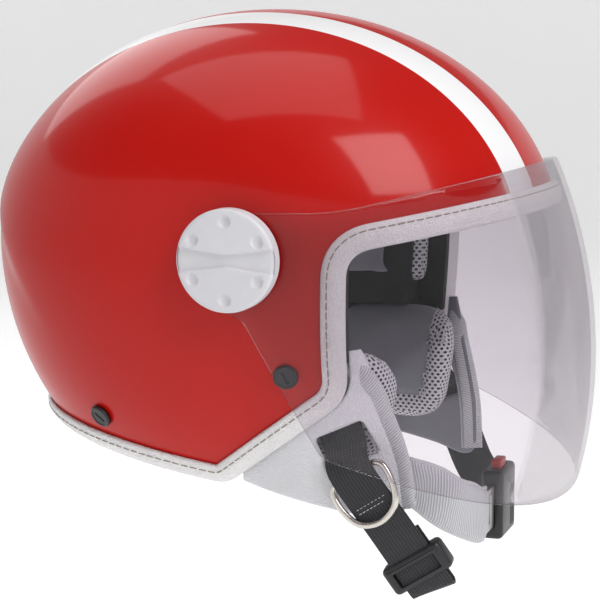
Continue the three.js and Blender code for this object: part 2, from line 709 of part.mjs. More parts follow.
// From above the front rivet, down inside the skirt and out through its slot.
function strapTop(side) {
  const { forward, up } = RIVET.front;
  return [
    at(side, eggHalfWidth(forward - 4, up + 6, STRAP_DEPTH), forward - 4, up + 6),
    at(side, eggHalfWidth(forward, up, STRAP_DEPTH), forward, up),
    ...WAY_PAST_SKIRT.map(([depth, ahead, height]) => (
      at(side, skirtFace(ahead, height) - depth, ahead, height))),
    hangTop(side),
  ];
}

// Under the shell the webbing lies flat against it; further down it keeps its tilt.
function strapTopWidths(side) {
  const { forward, up } = RIVET.front;
  const reach = WEBBING_WIDTH / 2;
  const towardsFront = eggHalfWidth(forward - reach * TILTED_WIDTH.y, up + reach * TILTED_WIDTH.z);
  const towardsRear = eggHalfWidth(forward + reach * TILTED_WIDTH.y, up - reach * TILTED_WIDTH.z);
  const flat = TILTED_WIDTH.clone().setX(side * (towardsFront - towardsRear) / WEBBING_WIDTH);
  return [flat, flat, flat.clone().lerp(TILTED_WIDTH, 0.3), ...Array(5).fill(TILTED_WIDTH)];
}

const strapTopEnd = hangTop(-1);
const strapFold = at(-1, -strapTopEnd.x - STRAP_FOLD.inwards, STRAP_FOLD.forward, STRAP_FOLD.up);
const strapDown = strapFold.clone().sub(strapTopEnd).normalize();
const strapAcross = TILTED_WIDTH.clone()
  .addScaledVector(strapDown, -TILTED_WIDTH.dot(strapDown))
  .normalize();
const strapInwards = strapDown.clone().cross(strapAcross).normalize();
if (strapInwards.x < 0) {
  strapInwards.negate();
}

// The right strap hangs straight down, folds back on itself and comes in under the skirt.
function strapRight() {
  const route = strapTop(-1);
  route.push(strapTopEnd.clone().lerp(strapFold, 0.5));
  const centre = strapFold.clone().addScaledVector(strapInwards, STRAP_FOLD_RADIUS);
  for (let i = 0; i <= 4; i += 1) {
    const angle = i * Math.PI / 4;
    route.push(centre.clone()
      .addScaledVector(strapInwards, -STRAP_FOLD_RADIUS * Math.cos(angle))
      .addScaledVector(strapDown, STRAP_FOLD_RADIUS * Math.sin(angle)));
  }
  const back = centre.clone().addScaledVector(strapInwards, STRAP_FOLD_RADIUS);
  route.push(back.clone().addScaledVector(strapDown, -STRAP_RETURN / 2));
  route.push(back.clone().addScaledVector(strapDown, -STRAP_RETURN));
  const widths = [...strapTopWidths(-1), ...Array(route.length - 8).fill(TILTED_WIDTH)];
  const webbing = band(route, widths, WEBBING_WIDTH, WEBBING_THICKNESS, 2 * (route.length - 1));
  return webbing.subtract(rivetBore(RIVET_SHANK_RADIUS + GAP, RIVET.front, -1));
}

function strapLeft() {
  const buckleEdge = BUCKLE_CENTRE.x + BUCKLE_LENGTH / 2;
  const reach = hangTop(1).x - buckleEdge;
  const route = strapTop(1);
  route.push(
    ...WAY_TO_BUCKLE.map(([share, forward, up]) => at(1, buckleEdge + share * reach, forward, up)),
    at(1, buckleEdge + 2, -BUCKLE_CENTRE.y, BUCKLE_CENTRE.z),
    at(1, buckleEdge - 4, -BUCKLE_CENTRE.y, BUCKLE_CENTRE.z),
  );
  const untwist = [0, 0.2, 0.5, 0.9, 1, 1].map((share) => TILTED_WIDTH.clone().lerp(UPRIGHT_WIDTH, share));
  const widths = [...strapTopWidths(1), ...untwist];
  const webbing = band(route, widths, WEBBING_WIDTH, WEBBING_THICKNESS, 2 * (route.length - 1));
  return webbing.subtract(rivetBore(RIVET_SHANK_RADIUS + GAP, RIVET.front, 1));
}

function chinPad() {
  const [, cheekForward, cheekUp] = WAY_OF_CHIN_PAD[0];
  const reach = skirtFace(cheekForward, cheekUp) - CHIN_PAD_CHEEK_DEPTH - CHIN_PAD_BUCKLE_OUT;
  const route = WAY_OF_CHIN_PAD.map(([share, forward, up]) => (
    at(-1, CHIN_PAD_BUCKLE_OUT + share * reach, forward, up)));
  const widths = [0, 0.1, 0.4, 0.8, 1, 1].map((share) => TILTED_WIDTH.clone().lerp(UPRIGHT_WIDTH, share));
  return band(route, widths, CHIN_PAD_WIDTH, CHIN_PAD_THICKNESS, 15);
}

// Gives a body made with X across the webbing, Y down it and Z out of the helmet its place on the strap.
function onStrap(geometry, distanceDown, proud) {
  const outwards = strapInwards.clone().negate();
  const down = strapDown.clone();
  const across = down.clone().cross(outwards);
  const matrix = new THREE.Matrix4().makeBasis(across, down, outwards);
  const origin = strapTopEnd.clone().addScaledVector(down, distanceDown).addScaledVector(outwards, proud);
  return geometry.applyMatrix4(matrix).translate(origin.x, origin.y, origin.z);
}

// Slider: a flat sleeve round both layers of webbing, with a bar between them and an open window.
function strapSlider() {
  const length = strapFold.distanceTo(strapTopEnd);
  const distanceDown = length - SLIDER_ABOVE_FOLD - SLIDER_LENGTH / 2;
  const tunnelWidth = WEBBING_WIDTH + 2 * GAP + WEBBING_WIDTH / 30;
  const tunnelHeight = 2 * STRAP_FOLD_RADIUS + WEBBING_THICKNESS + 3 * GAP;
  const barHeight = 2 * STRAP_FOLD_RADIUS - WEBBING_THICKNESS - 2 * GAP;
  const box = (x, y, z, lift = 0) => solid(onStrap(
    new THREE.BoxGeometry(x, y, z).translate(0, 0, lift),
    distanceDown,
    -STRAP_FOLD_RADIUS,
  ));
  const outer = box(tunnelWidth + 2 * SLIDER_RIM, SLIDER_LENGTH, tunnelHeight + 2 * SLIDER_SKIN);
  const tunnel = box(tunnelWidth, SLIDER_LENGTH + 2, tunnelHeight);
  const openWindow = box(tunnelWidth, SLIDER_WINDOW, tunnelHeight, tunnelHeight);
  const bar = box(tunnelWidth + 2, SLIDER_BAR_WIDTH, barHeight);
  return outer.subtract(tunnel).subtract(openWindow).add(bar);
}

// A ring of round wire along a closed curve in the XY plane.
function wireRing(curve, radius) {
  const torus = new THREE.TorusGeometry(10, radius, 6, 28);
  return moveVertices(torus, (p) => {
    const share = (Math.atan2(p.y, p.x) / (2 * Math.PI) + 1) % 1;
    const outwards = Math.hypot(p.x, p.y) - 10;
    const middle = curve.getPointAt(share);
    const along = curve.getTangentAt(share);
    p.set(middle.x + along.y * outwards, middle.y - along.x * outwards, p.z);
  });
}

const RING_CLEARANCE = WEBBING_THICKNESS / 2 + RING_WIRE_RADIUS + GAP;

// D ring threaded on the strap: its straight bar lies behind the webbing, its bow in front of it.
function dRing() {
  const half = RING_WIDTH / 2;
  const curve = new THREE.CatmullRomCurve3([
    new THREE.Vector3(half, 2.5, 0),
    new THREE.Vector3(half, 12, 0),
    new THREE.Vector3(half * 0.7, 20.5, 0),
    new THREE.Vector3(0, RING_DROP, 0),
    new THREE.Vector3(-half * 0.7, 20.5, 0),
    new THREE.Vector3(-half, 12, 0),
    new THREE.Vector3(-half, 2.5, 0),
    new THREE.Vector3(-half + 2.5, 0, 0),
    new THREE.Vector3(half - 2.5, 0, 0),
  ], true, 'centripetal');
  const tilt = Math.asin(2 * RING_CLEARANCE / (RING_DROP - 5));
  return solid(onStrap(wireRing(curve, RING_WIRE_RADIUS).rotateX(tilt), RING_DOWN, -RING_CLEARANCE));
}

// ---- Buckle -------------------------------------------------------------------------------------

function buckleBox(length, depth, height, offsetX = 0, offsetUp = 0) {
  return new THREE.BoxGeometry(length, depth, height)
    .translate(BUCKLE_CENTRE.x + offsetX, BUCKLE_CENTRE.y, BUCKLE_CENTRE.z + offsetUp);
}

function buckleBody() {
  const shape = roundedShape([
    [-BUCKLE_LENGTH / 2, -BUCKLE_HEIGHT / 2, BUCKLE_ROUND],
    [BUCKLE_LENGTH / 2, -BUCKLE_HEIGHT / 2, BUCKLE_ROUND],
    [BUCKLE_LENGTH / 2, BUCKLE_HEIGHT / 2, BUCKLE_ROUND],
    [-BUCKLE_LENGTH / 2, BUCKLE_HEIGHT / 2, BUCKLE_ROUND],
  ]);
  const bevel = 1.5;
  const body = new THREE.ExtrudeGeometry(shape, {
    depth: BUCKLE_DEPTH - 2 * bevel,
    bevelThickness: bevel,
    bevelSize: bevel,
    bevelOffset: -bevel,
    bevelSegments: 2,
    curveSegments: 4,
  });
  body.rotateX(Math.PI / 2).translate(0, BUCKLE_DEPTH / 2 - bevel, 0);
  body.translate(BUCKLE_CENTRE.x, BUCKLE_CENTRE.y, BUCKLE_CENTRE.z);
  const mouthHeight = WEBBING_WIDTH + 2 * GAP;
  const mouthDepth = TONGUE_THICKNESS + 2 * GAP;
  const mouth = buckleBox(TONGUE_IN + 2, mouthDepth, mouthHeight, (TONGUE_IN - BUCKLE_LENGTH) / 2);
  const webbingSlot = buckleBox(10, WEBBING_THICKNESS + 4 * GAP, mouthHeight + 2, BUCKLE_LENGTH / 2);
  const pocketDrop = BUTTON_IN + BUTTON_TRAVEL + GAP;
  const pocket = buckleBox(
    BUTTON_LENGTH + 2 * GAP,
    BUTTON_DEPTH + 2 * GAP,
    2 * pocketDrop,
    0,
    BUCKLE_HEIGHT / 2,
  );
  return solid(body).subtract(solid(mouth)).subtract(solid(webbingSlot)).subtract(solid(pocket));
}

function releaseButton() {
  const height = BUTTON_IN + BUTTON_PROUD;
  const middle = BUCKLE_HEIGHT / 2 - BUTTON_IN + height / 2;
  return solid(buckleBox(BUTTON_LENGTH, BUTTON_DEPTH, height, 0, middle));
}

// Plate that plugs into the buckle, with a bar that the chin strap is sewn round.
function buckleTongue() {
  const plate = buckleBox(
    TONGUE_IN + TONGUE_OUT,
    TONGUE_THICKNESS,
    WEBBING_WIDTH,
    -BUCKLE_LENGTH / 2 + (TONGUE_IN - TONGUE_OUT) / 2 - GAP,
  );
  const barSlot = buckleBox(
    TONGUE_BAR,
    BUCKLE_DEPTH,
    WEBBING_WIDTH - 2 * TONGUE_BAR,
    -BUCKLE_LENGTH / 2 - TONGUE_OUT + TONGUE_BAR * 1.5,
  );
  return solid(plate).subtract(solid(barSlot));
}

// ---- Assembly -----------------------------------------------------------------------------------

place('outer_shell', redPaint, outerShell());
place('eps_liner', blackFoam, foamLiner());
place('edge_trim', whiteLeather, edgeTrim());
place('crown_liner', greyFabric, crownLiner());
place('brow_pad', greyMesh, browPad());
place('neck_roll', greyMesh, neckRoll());
place('visor', clearPlastic, visor());
for (const { label, side } of SIDES) {
  place(`temple_pad_${label}`, greyMesh, templePad(side));
  place(`cheek_pad_${label}`, greyMesh, cheekPad(side));
  place(`side_skirt_${label}`, whiteLeather, sideSkirt(side));
  place(`knob_${label}`, whitePlastic, knob(side));
  place(`pivot_screw_${label}`, steel, pivotScrew(side));
  place(`friction_washer_${label}`, blackPlastic, frictionWasher(side));
  place(`pivot_nut_${label}`, steel, pivotNut(side));
  place(`strap_rivet_${label}`, blackPlastic, rivet(RIVET.front, side));
  place(`strap_rivet_washer_${label}`, steel, rivetWasher(RIVET.front, side));
  place(`rear_rivet_${label}`, blackPlastic, rivet(RIVET.rear, side));
  place(`rear_rivet_washer_${label}`, steel, rivetWasher(RIVET.rear, side));
}
place('strap_right', blackWebbing, strapRight());
place('strap_left', blackWebbing, strapLeft());
place('chin_pad', paleFabric, chinPad());
place('strap_slider', blackPlastic, strapSlider());
place('d_ring', steel, dRing());
place('buckle_body', blackPlastic, buckleBody());
place('release_button', redPlastic, releaseButton());
place('buckle_tongue', steel, buckleTongue());

export default helmet;
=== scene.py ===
"""Looks of the open face motorcycle helmet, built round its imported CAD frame.

Sizes in this script are millimetres until mesh_piece() turns them into metres. The frame is the
CAD one: +Z up, the wearer faces -Y, +X is the wearer's left. A side view is drawn with "forward",
which is -Y, and "up", which is Z. "Depth" is measured inwards from the shell's outer surface.
"""

import math

import bmesh
import bpy
import numpy as np
from mathutils import Matrix, Vector


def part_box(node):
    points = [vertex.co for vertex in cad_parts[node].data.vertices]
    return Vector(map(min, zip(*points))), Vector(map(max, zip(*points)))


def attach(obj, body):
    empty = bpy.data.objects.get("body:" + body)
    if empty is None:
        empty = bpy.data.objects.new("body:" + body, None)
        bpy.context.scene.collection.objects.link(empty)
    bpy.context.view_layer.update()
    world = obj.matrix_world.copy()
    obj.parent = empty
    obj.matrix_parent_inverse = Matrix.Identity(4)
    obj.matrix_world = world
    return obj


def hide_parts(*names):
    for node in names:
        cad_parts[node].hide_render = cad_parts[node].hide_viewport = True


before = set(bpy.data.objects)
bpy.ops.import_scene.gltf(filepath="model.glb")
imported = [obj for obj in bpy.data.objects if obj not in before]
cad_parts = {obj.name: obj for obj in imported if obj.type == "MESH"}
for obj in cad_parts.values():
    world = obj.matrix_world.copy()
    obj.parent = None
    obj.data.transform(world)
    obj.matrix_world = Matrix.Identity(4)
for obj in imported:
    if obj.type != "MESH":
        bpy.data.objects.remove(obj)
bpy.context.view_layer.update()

MM = 0.001
SIDES = (("left", 1), ("right", -1))

# ---- Sizes shared with the CAD frame ------------------------------------------------------------

SHELL_HALF_WIDTH = 112.0
SHELL_FRONT = 137.0
SHELL_REAR = 136.0
SHELL_TOP = 109.0
SHELL_BOTTOM = 140.0
SHELL_CENTRE_Y = 18.6
SHELL_CENTRE_Z = -2.1
SIDE_FULLNESS = 2.5
SHELL_WALL = 4.0
SHELL_EDGE_ROUND = 1.8

BEYOND = 170.0                        # outlines that run off the helmet go out to here

# Lower edge and face opening of the shell, seen from the side: (forward, up, corner radius).
RIM = (
    (-165, -79.5, 0),
    (-16, -105.2, 12),
    (43, -62, 20),
    (45, 4.5, 16),
    (165, 28, 0),
    (BEYOND, BEYOND, 0),
    (-BEYOND, BEYOND, 0),
)
TRIM_COVER = 8.5
TRIM_STANDOFF = 2.4
TRIM_LIP_DEPTH = 12.0

FOAM_DEPTH = 28.0
LINER_THICKNESS = 5.0
LINER_LOWEST = -40.0
LINER_HEM = 6.0                       # width of the knitted hem along the liner's lower edge
LINER_PANEL_SEAM = 30.0               # distance of the liner's two long seams from the middle
REBATE_DEPTH = 12.5
REBATE_WIDTH = 16.0
BORDER_PAD_DEPTH = 26.0
PAD_GAP = 0.6
TEMPLE_FRONT = 51.0
TEMPLE_LOWEST = -41.0
NECK_ROLL_FRONT = -26.0

VISOR_THICKNESS = 2.4
VISOR_EDGE_ROUND = 1.2
VISOR_BORE_RADIUS = 5.4
VISOR_HALF_WIDTH = SHELL_HALF_WIDTH + 6.8
VISOR_REACH = SHELL_FRONT + 2.7
VISOR_LEAN = math.radians(9)
BARREL_FORWARD = -4.6
BARREL_UP = -44.1
BARREL_FRONT_BOW = 183.0
BARREL_SIDE_BOW = 400.0
BARREL_FULLNESS = 2.2
EAR = 19.5
VISOR_OUTLINE = (
    (-EAR, EAR, EAR),
    (44, 20.4, 110),
    (160, 48.5, 0),
    (160, -129, 0),
    (40, -86.4, 11),
    (4, -26, 10),
    (-EAR, -EAR, EAR),
)

KNOB_RADIUS = 22.5
KNOB_THICKNESS = 8.0
KNOB_BOSS_RADIUS = 5.0
KNOB_DIMPLE_CIRCLE = 17.0
KNOB_DIMPLE_RADIUS = 2.6
KNOB_DIMPLE_DEPTH = 1.2
KNOB_CHANNEL_DEPTH = 1.6
KNOB_CHANNEL_WAIST = 5.0
KNOB_CHANNEL_END = 11.0

RIVETS = {"strap_rivet": (20, -52.5), "rear_rivet": (-74.5, -78.5)}
RIVET_HEAD_RADIUS = 5.6
RIVET_HEAD_HEIGHT = 2.6
RIVET_SHANK_RADIUS = 2.0
RIVET_SHANK_LENGTH = 9.2

CHEEK_OUTLINE = ((-14, -46, 14), (60, -43, 22), (51, -101, 20), (-8, -99, 14))
CHEEK_THICKNESS = 20.0
SKIRT_OUTLINE = (
    (-30, -60, 0),
    (49, -38, 2),
    (58, -64, 30),
    (66, -92, 30),
    (68, -123, 12),
    (-30, -103, 0),
)
SKIRT_DEPTH = 4.6
SKIRT_THICKNESS = 3.4
SKIRT_LEAN = 0.1

WEBBING_WIDTH = 21.0
WEBBING_THICKNESS = 1.5
WEBBING_TILT = math.radians(24)
SLOT = (41.5, -86.5)
SLOT_HEIGHT = 16.5
SLOT_WIDTH = 22.8
SLOT_CORNER = 2.0
STRAP_HANG_TOP = (90.6, 45.5, -96)
STRAP_FOLD = (80, 80.5, -149)
STRAP_FOLD_RADIUS = 1.9
STRAP_RETURN = 27.0
SLIDER_LENGTH = 14.0
SLIDER_ABOVE_FOLD = 4.0
RING_DOWN = 3.0
RING_WIDTH = WEBBING_WIDTH * 1.3
RING_DROP = 24.0
RING_WIRE = 1.5

# Places that the straps and the chin sleeve pass: (out from the middle, forward, up).
WAY_PAST_SKIRT = ((90, 26, -61), (82, 31.5, -69.5), (79.9, 37, -78.5))
SLOT_OUT = 83.9
WAY_TO_BUCKLE = ((85.6, 54, -112), (81, 62.5, -128), (71, 73, -136), (58, 82, -136))
WAY_OF_CHIN_SLEEVE = (
    (58.3, 58, -104), (51.5, 68, -109), (44.2, 77, -117), (25.6, 83, -126), (9.9, 86, -132),
)
CHIN_WIDTH = 25.0
CHIN_THICKNESS = 6.0

BUCKLE_CENTRE = (29.0, -86.5, -133.0)
BUCKLE_SIZE = (30.0, 11.0, 34.0)

# ---- Materials ----------------------------------------------------------------------------------


def material(name, colour, roughness, metallic=0.0, **sockets):
    """A new material with its values set on the Principled shader's own sockets."""
    made = bpy.data.materials.new(name)
    made.use_nodes = True
    shader = made.node_tree.nodes["Principled BSDF"]
    shader.inputs["Base Color"].default_value = (*colour, 1)
    shader.inputs["Roughness"].default_value = roughness
    shader.inputs["Metallic"].default_value = metallic
    for key, value in sockets.items():
        shader.inputs[key.replace("_", " ")].default_value = value
    return made


def node(made, kind, **inputs):
    """Adds a node; an input may be a value or another node's output socket."""
    tree = made.node_tree
    added = tree.nodes.new(kind)
    for key, value in inputs.items():
        socket = added.inputs[int(key[1:]) if key[0] == "i" and key[1:].isdigit() else key]
        if isinstance(value, bpy.types.NodeSocket):
            tree.links.new(value, socket)
        else:
            socket.default_value = value
    return added


def maths(made, operation, first, second=0.0, third=0.0):
    added = node(made, "ShaderNodeMath", i0=first, i1=second, i2=third)
    added.operation = operation
    return added.outputs[0]


def object_place(made):
    return node(made, "ShaderNodeTexCoord").outputs["Object"]


def uv_place(made):
    return node(made, "ShaderNodeTexCoord").outputs["UV"]


def noise(made, scale, detail=3.0, place=None):
    """Noise over the piece's own metres, unless another place is given."""
    if place is None:
        place = object_place(made)
    return node(made, "ShaderNodeTexNoise", Vector=place, Scale=scale, Detail=detail).outputs[0]


def to_shader(made, output, socket):
    made.node_tree.links.new(output, made.node_tree.nodes["Principled BSDF"].inputs[socket])


def add_bump(made, height, distance, strength=1.0, under=None):
    """Bump from a height in 0..1 that stands for a distance in millimetres."""
    bump = node(made, "ShaderNodeBump", Height=height, Strength=strength, Distance=distance * MM)
    if under is not None:
        made.node_tree.links.new(under, bump.inputs["Normal"])
    to_shader(made, bump.outputs[0], "Normal")
    return bump.outputs[0]


def mix_colours(made, share, low, high):
    mix = made.node_tree.nodes.new("ShaderNodeMix")
    mix.data_type = "RGBA"
    for socket, value in ((mix.inputs[0], share), (mix.inputs[6], low), (mix.inputs[7], high)):
        if isinstance(value, bpy.types.NodeSocket):
            made.node_tree.links.new(value, socket)
        else:
            socket.default_value = value if socket == mix.inputs[0] else (*value, 1)
    return mix.outputs[2]


def tint(made, share, low, high):
    """A base colour that goes from low to high as a share goes from 0 to 1."""
    to_shader(made, mix_colours(made, share, low, high), "Base Color")


def shaded(colour, share):
    return tuple(c * share for c in colour)


def steps(made, value, low, high):
    """0 below low, 1 above high, and a smooth ramp between them."""
    ramp = node(made, "ShaderNodeMapRange", Value=value)
    ramp.interpolation_type = "SMOOTHSTEP"
    ramp.inputs["From Min"].default_value = low
    ramp.inputs["From Max"].default_value = high
    return ramp.outputs[0]


def coordinates(made, place):
    return node(made, "ShaderNodeSeparateXYZ", Vector=place).outputs


STRIPE_INNER = 21.0                   # distance of each white stripe's edges from the middle
STRIPE_OUTER = 42.0
STRIPE_BLUR = 0.15


def red_paint():
    made = material("red_paint", (0.45, 0.006, 0.002), 0.4, Coat_Weight=0.38, Coat_Roughness=0.10,
                    Specular_IOR_Level=0.1)
    off_middle = maths(made, "ABSOLUTE", coordinates(made, object_place(made))[0])
    inner, outer = (
        steps(made, off_middle, (edge - STRIPE_BLUR) * MM, (edge + STRIPE_BLUR) * MM)
        for edge in (STRIPE_INNER, STRIPE_OUTER)
    )
    stripe = maths(made, "SUBTRACT", inner, outer)
    flakes = noise(made, 2600, 1.0)
    depth = noise(made, 9, 2.0)
    shade = maths(made, "MULTIPLY_ADD", flakes, 0.5, maths(made, "MULTIPLY", depth, 0.35))
    red = mix_colours(made, shade, (0.38, 0.003, 0.002), (0.55, 0.008, 0.003))
    tint(made, stripe, red, (0.82, 0.81, 0.82))
    add_bump(made, noise(made, 220, 2.0), 0.02, 0.35)
    return made


def leather(name, colour, grain=950.0):
    made = material(name, colour, 0.55, Sheen_Weight=0.12, Sheen_Roughness=0.5)
    cells = node(made, "ShaderNodeTexVoronoi", Vector=object_place(made), Scale=grain)
    cells.feature = "DISTANCE_TO_EDGE"
    grooves = steps(made, cells.outputs["Distance"], 0.0, 0.22)
    soiled = noise(made, 26, 4.0)
    dark = shaded(colour, 0.90)
    between_grooves = mix_colours(made, steps(made, soiled, 0.35, 0.65), dark, colour)
    tint(made, grooves, dark, between_grooves)
    coarse = add_bump(made, noise(made, 150, 3.0), 0.6, 0.6)
    add_bump(made, grooves, 0.24, 0.9, coarse)
    return made


def trim_leather():
    """Leather drawn round the edge: the fine grain, and creases that run across the piping."""
    made = leather("trim_leather", (0.90, 0.88, 0.88), 640.0)
    shader = made.node_tree.nodes["Principled BSDF"]
    under = shader.inputs["Normal"].links[0].from_socket
    stretched = node(made, "ShaderNodeMapping", Vector=uv_place(made))
    stretched.inputs["Scale"].default_value = (0.10, 0.42, 1.0)
    creases = noise(made, 2.2, 3.0, stretched.outputs[0])
    add_bump(made, creases, 1.1, 0.6, under)
    return made


def clear_plastic():
    """Thin clear sheet: light goes straight through, faintly tinted, and the surface reflects."""
    made = material("clear_plastic", (0.80, 0.77, 0.80), 0.04, IOR=1.49)
    links = made.node_tree.links
    through = node(made, "ShaderNodeBsdfTransparent")
    through.inputs["Color"].default_value = (0.915, 0.895, 0.915, 1)
    sheen = node(made, "ShaderNodeBsdfGlossy")
    scuffs = noise(made, 14, 3.0)
    links.new(maths(made, "MULTIPLY", scuffs, 0.08), sheen.inputs["Roughness"])
    edge_on = node(made, "ShaderNodeLayerWeight")
    edge_on.inputs["Blend"].default_value = 0.22
    share = maths(made, "MULTIPLY_ADD", edge_on.outputs["Fresnel"], 0.55, 0.01)
    both = node(made, "ShaderNodeMixShader")
    links.new(share, both.inputs[0])
    links.new(through.outputs[0], both.inputs[1])
    links.new(sheen.outputs[0], both.inputs[2])
    output = made.node_tree.nodes["Material Output"]
    links.new(both.outputs[0], output.inputs["Surface"])
    return made


def moulded(name, colour, roughness=0.42):
    made = material(name, colour, roughness)
    fine = noise(made, 1800, 2.0)
    wear = noise(made, 90, 3.0)
    tint(made, wear, shaded(colour, 0.86), colour)
    to_shader(made, maths(made, "MULTIPLY_ADD", wear, 0.2, roughness - 0.1), "Roughness")
    add_bump(made, fine, 0.04, 0.5)
    return made


def metal(name, colour, roughness):
    made = material(name, colour, roughness, 1.0)
    scuffs = noise(made, 420, 4.0)
    to_shader(made, maths(made, "MULTIPLY_ADD", scuffs, 0.22, roughness - 0.08), "Roughness")
    add_bump(made, scuffs, 0.01, 0.1)
    return made


def brushed_knit(name, colour):
    """Smooth lining fabric: a very fine knit with a soft nap."""
    made = material(name, colour, 0.95, Sheen_Weight=0.35, Sheen_Roughness=0.6)
    nap = noise(made, 1500, 3.0)
    tone = noise(made, 40, 3.0)
    blotchy = mix_colours(made, tone, shaded(colour, 0.78), shaded(colour, 1.15))
    tint(made, nap, shaded(colour, 0.7), blotchy)
    add_bump(made, nap, 0.25, 0.5)
    return made


MESH_PITCH = 3.0                      # distance between the holes of the mesh fabric


def open_mesh():
    """White-grey spacer mesh: rows of oval holes painted near-black as shade, each row shifted by half a
    hole.
    """
    made = material("open_mesh", (0.62, 0.61, 0.64), 0.9, Sheen_Weight=0.2)
    across, up, _ = coordinates(made, uv_place(made))
    row = maths(made, "DIVIDE", up, MESH_PITCH * 0.62)
    odd = maths(made, "MULTIPLY", maths(made, "MODULO", maths(made, "FLOOR", row), 2.0), 0.5)
    column = maths(made, "ADD", maths(made, "DIVIDE", across, MESH_PITCH), odd)
    off_row = maths(made, "SUBTRACT", maths(made, "FRACT", row), 0.5)
    off_column = maths(made, "SUBTRACT", maths(made, "FRACT", column), 0.5)
    squared = maths(made, "MULTIPLY", off_column, maths(made, "MULTIPLY", off_column, 1.6))
    reach = maths(made, "MULTIPLY_ADD", off_row, off_row, squared)
    yarn = steps(made, reach, 0.07, 0.15)
    strands = noise(made, 2200, 2.0)
    pale = mix_colours(made, strands, (0.44, 0.43, 0.46), (0.72, 0.71, 0.74))
    # Painted shade: the holes are painted near-black, standing for the shadow inside them.
    tint(made, yarn, (0.012, 0.012, 0.016), pale)
    add_bump(made, yarn, 0.8, 0.9)
    return made


def ribbed_knit(name, colour, pitch=1.3, lean=0.5):
    """Binding fabric with narrow slanting ribs."""
    made = material(name, colour, 0.9, Sheen_Weight=0.2)
    across, up, _ = coordinates(made, uv_place(made))
    slant = maths(made, "MULTIPLY_ADD", across, lean, up)
    wave = maths(made, "SINE", maths(made, "MULTIPLY", slant, 2 * math.pi / pitch))
    rib = maths(made, "MULTIPLY_ADD", wave, 0.5, 0.5)
    yarn = noise(made, 1900, 2.0)
    # Painted shade: the troughs between the ribs are painted darker, down to 0.62 of the colour, mixed with
    # a random tone from the yarn.
    tone = maths(made, "MULTIPLY", rib, maths(made, "MULTIPLY_ADD", yarn, 0.5, 0.75))
    tint(made, tone, shaded(colour, 0.62), colour)
    add_bump(made, rib, 0.35, 0.8)
    return made


def webbing():
    """Black strap: ribs along its length, crossed by the weft."""
    made = material("black_webbing", (0.012, 0.012, 0.016), 0.75, Sheen_Weight=0.25)
    across, along, _ = coordinates(made, uv_place(made))
    warp = maths(made, "SINE", maths(made, "MULTIPLY", across, 2 * math.pi / 1.5))
    weft = maths(made, "SINE", maths(made, "MULTIPLY", along, 2 * math.pi / 0.9))
    weave = maths(made, "MULTIPLY_ADD", weft, 0.35, maths(made, "MULTIPLY", warp, 0.65))
    height = maths(made, "MULTIPLY_ADD", weave, 0.5, 0.5)
    # Painted shade and highlight: the weave's hollows are painted darker and its ridges lighter, following
    # the bump's height.
    tint(made, height, (0.004, 0.004, 0.006), (0.03, 0.03, 0.036))
    add_bump(made, height, 0.3, 0.8)
    return made


def foam_beads():
    made = material("black_foam", (0.02, 0.02, 0.022), 0.85)
    cells = node(made, "ShaderNodeTexVoronoi", Vector=object_place(made), Scale=330.0)
    bead = steps(made, cells.outputs["Distance"], 0.1, 0.7)
    tint(made, bead, (0.013, 0.013, 0.014), (0.009, 0.009, 0.010))
    add_bump(made, bead, 0.15, 0.2)
    return made


def thread(name, colour):
    made = material(name, colour, 0.7)
    twist = noise(made, 1600, 2.0)
    tint(made, twist, shaded(colour, 0.6), colour)
    add_bump(made, twist, 0.1, 0.6)
    return made


RED = red_paint()
TRIM = trim_leather()
SKIRT_LEATHER = leather("skirt_leather", (0.80, 0.80, 0.83), 700.0)
CLEAR = clear_plastic()
WHITE_PLASTIC = moulded("white_plastic", (0.66, 0.65, 0.68), 0.45)
BLACK_PLASTIC = moulded("black_plastic", (0.014, 0.014, 0.016), 0.38)
RED_PLASTIC = moulded("red_plastic", (0.45, 0.015, 0.015), 0.4)
NICKEL = metal("nickel", (0.66, 0.62, 0.57), 0.22)
STEEL = metal("steel", (0.52, 0.52, 0.52), 0.35)
LINING = brushed_knit("lining_grey", (0.27, 0.27, 0.30))
FACE_FABRIC = brushed_knit("pad_face_grey", (0.25, 0.255, 0.285))
MESH_FABRIC = open_mesh()
BINDING = ribbed_knit("pale_binding", (0.72, 0.72, 0.75))
DARK_KNIT = ribbed_knit("dark_knit", (0.05, 0.05, 0.055), 1.1, 0.0)
SLEEVE = ribbed_knit("chin_sleeve", (0.68, 0.68, 0.71), 1.5, 0.7)
WEBBING = webbing()
FOAM = foam_beads()
BEIGE_THREAD = thread("beige_thread", (0.40, 0.36, 0.30))
WHITE_THREAD = thread("white_thread", (0.72, 0.71, 0.74))

# ---- Meshes -------------------------------------------------------------------------------------


def mesh_piece(name, points, faces, materials, stands_for=(), slot=None, body="helmet", uv=None):
    """A smooth-shaded piece from points in millimetres, riding on a CAD body."""
    data = bpy.data.meshes.new(name)
    data.from_pydata((np.asarray(points, float) * MM).tolist(), [], [list(f) for f in faces])
    data.validate()
    shape = bmesh.new()
    shape.from_mesh(data)
    if uv is not None:
        layer = shape.loops.layers.uv.new("UVMap")
        for face in shape.faces:
            for corner in face.loops:
                corner[layer].uv = uv[corner.vert.index]
    bmesh.ops.recalc_face_normals(shape, faces=shape.faces)
    for face in shape.faces:
        face.smooth = True
    shape.to_mesh(data)
    shape.free()
    piece = bpy.data.objects.new(name, data)
    bpy.context.scene.collection.objects.link(piece)
    for one in materials:
        data.materials.append(one)
    return register(piece, stands_for, body)


def register(piece, stands_for=(), body="helmet"):
    if stands_for:
        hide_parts(*stands_for)
    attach(piece, body)
    return piece


def paint(piece, chooser):
    """Gives each face the material whose number chooser(centres in mm, normals) returns."""
    data = piece.data
    centres = np.array([f.center for f in data.polygons]) / MM
    normals = np.array([f.normal for f in data.polygons])
    chosen = chooser(centres, normals).astype(np.int32)
    data.polygons.foreach_set("material_index", chosen)


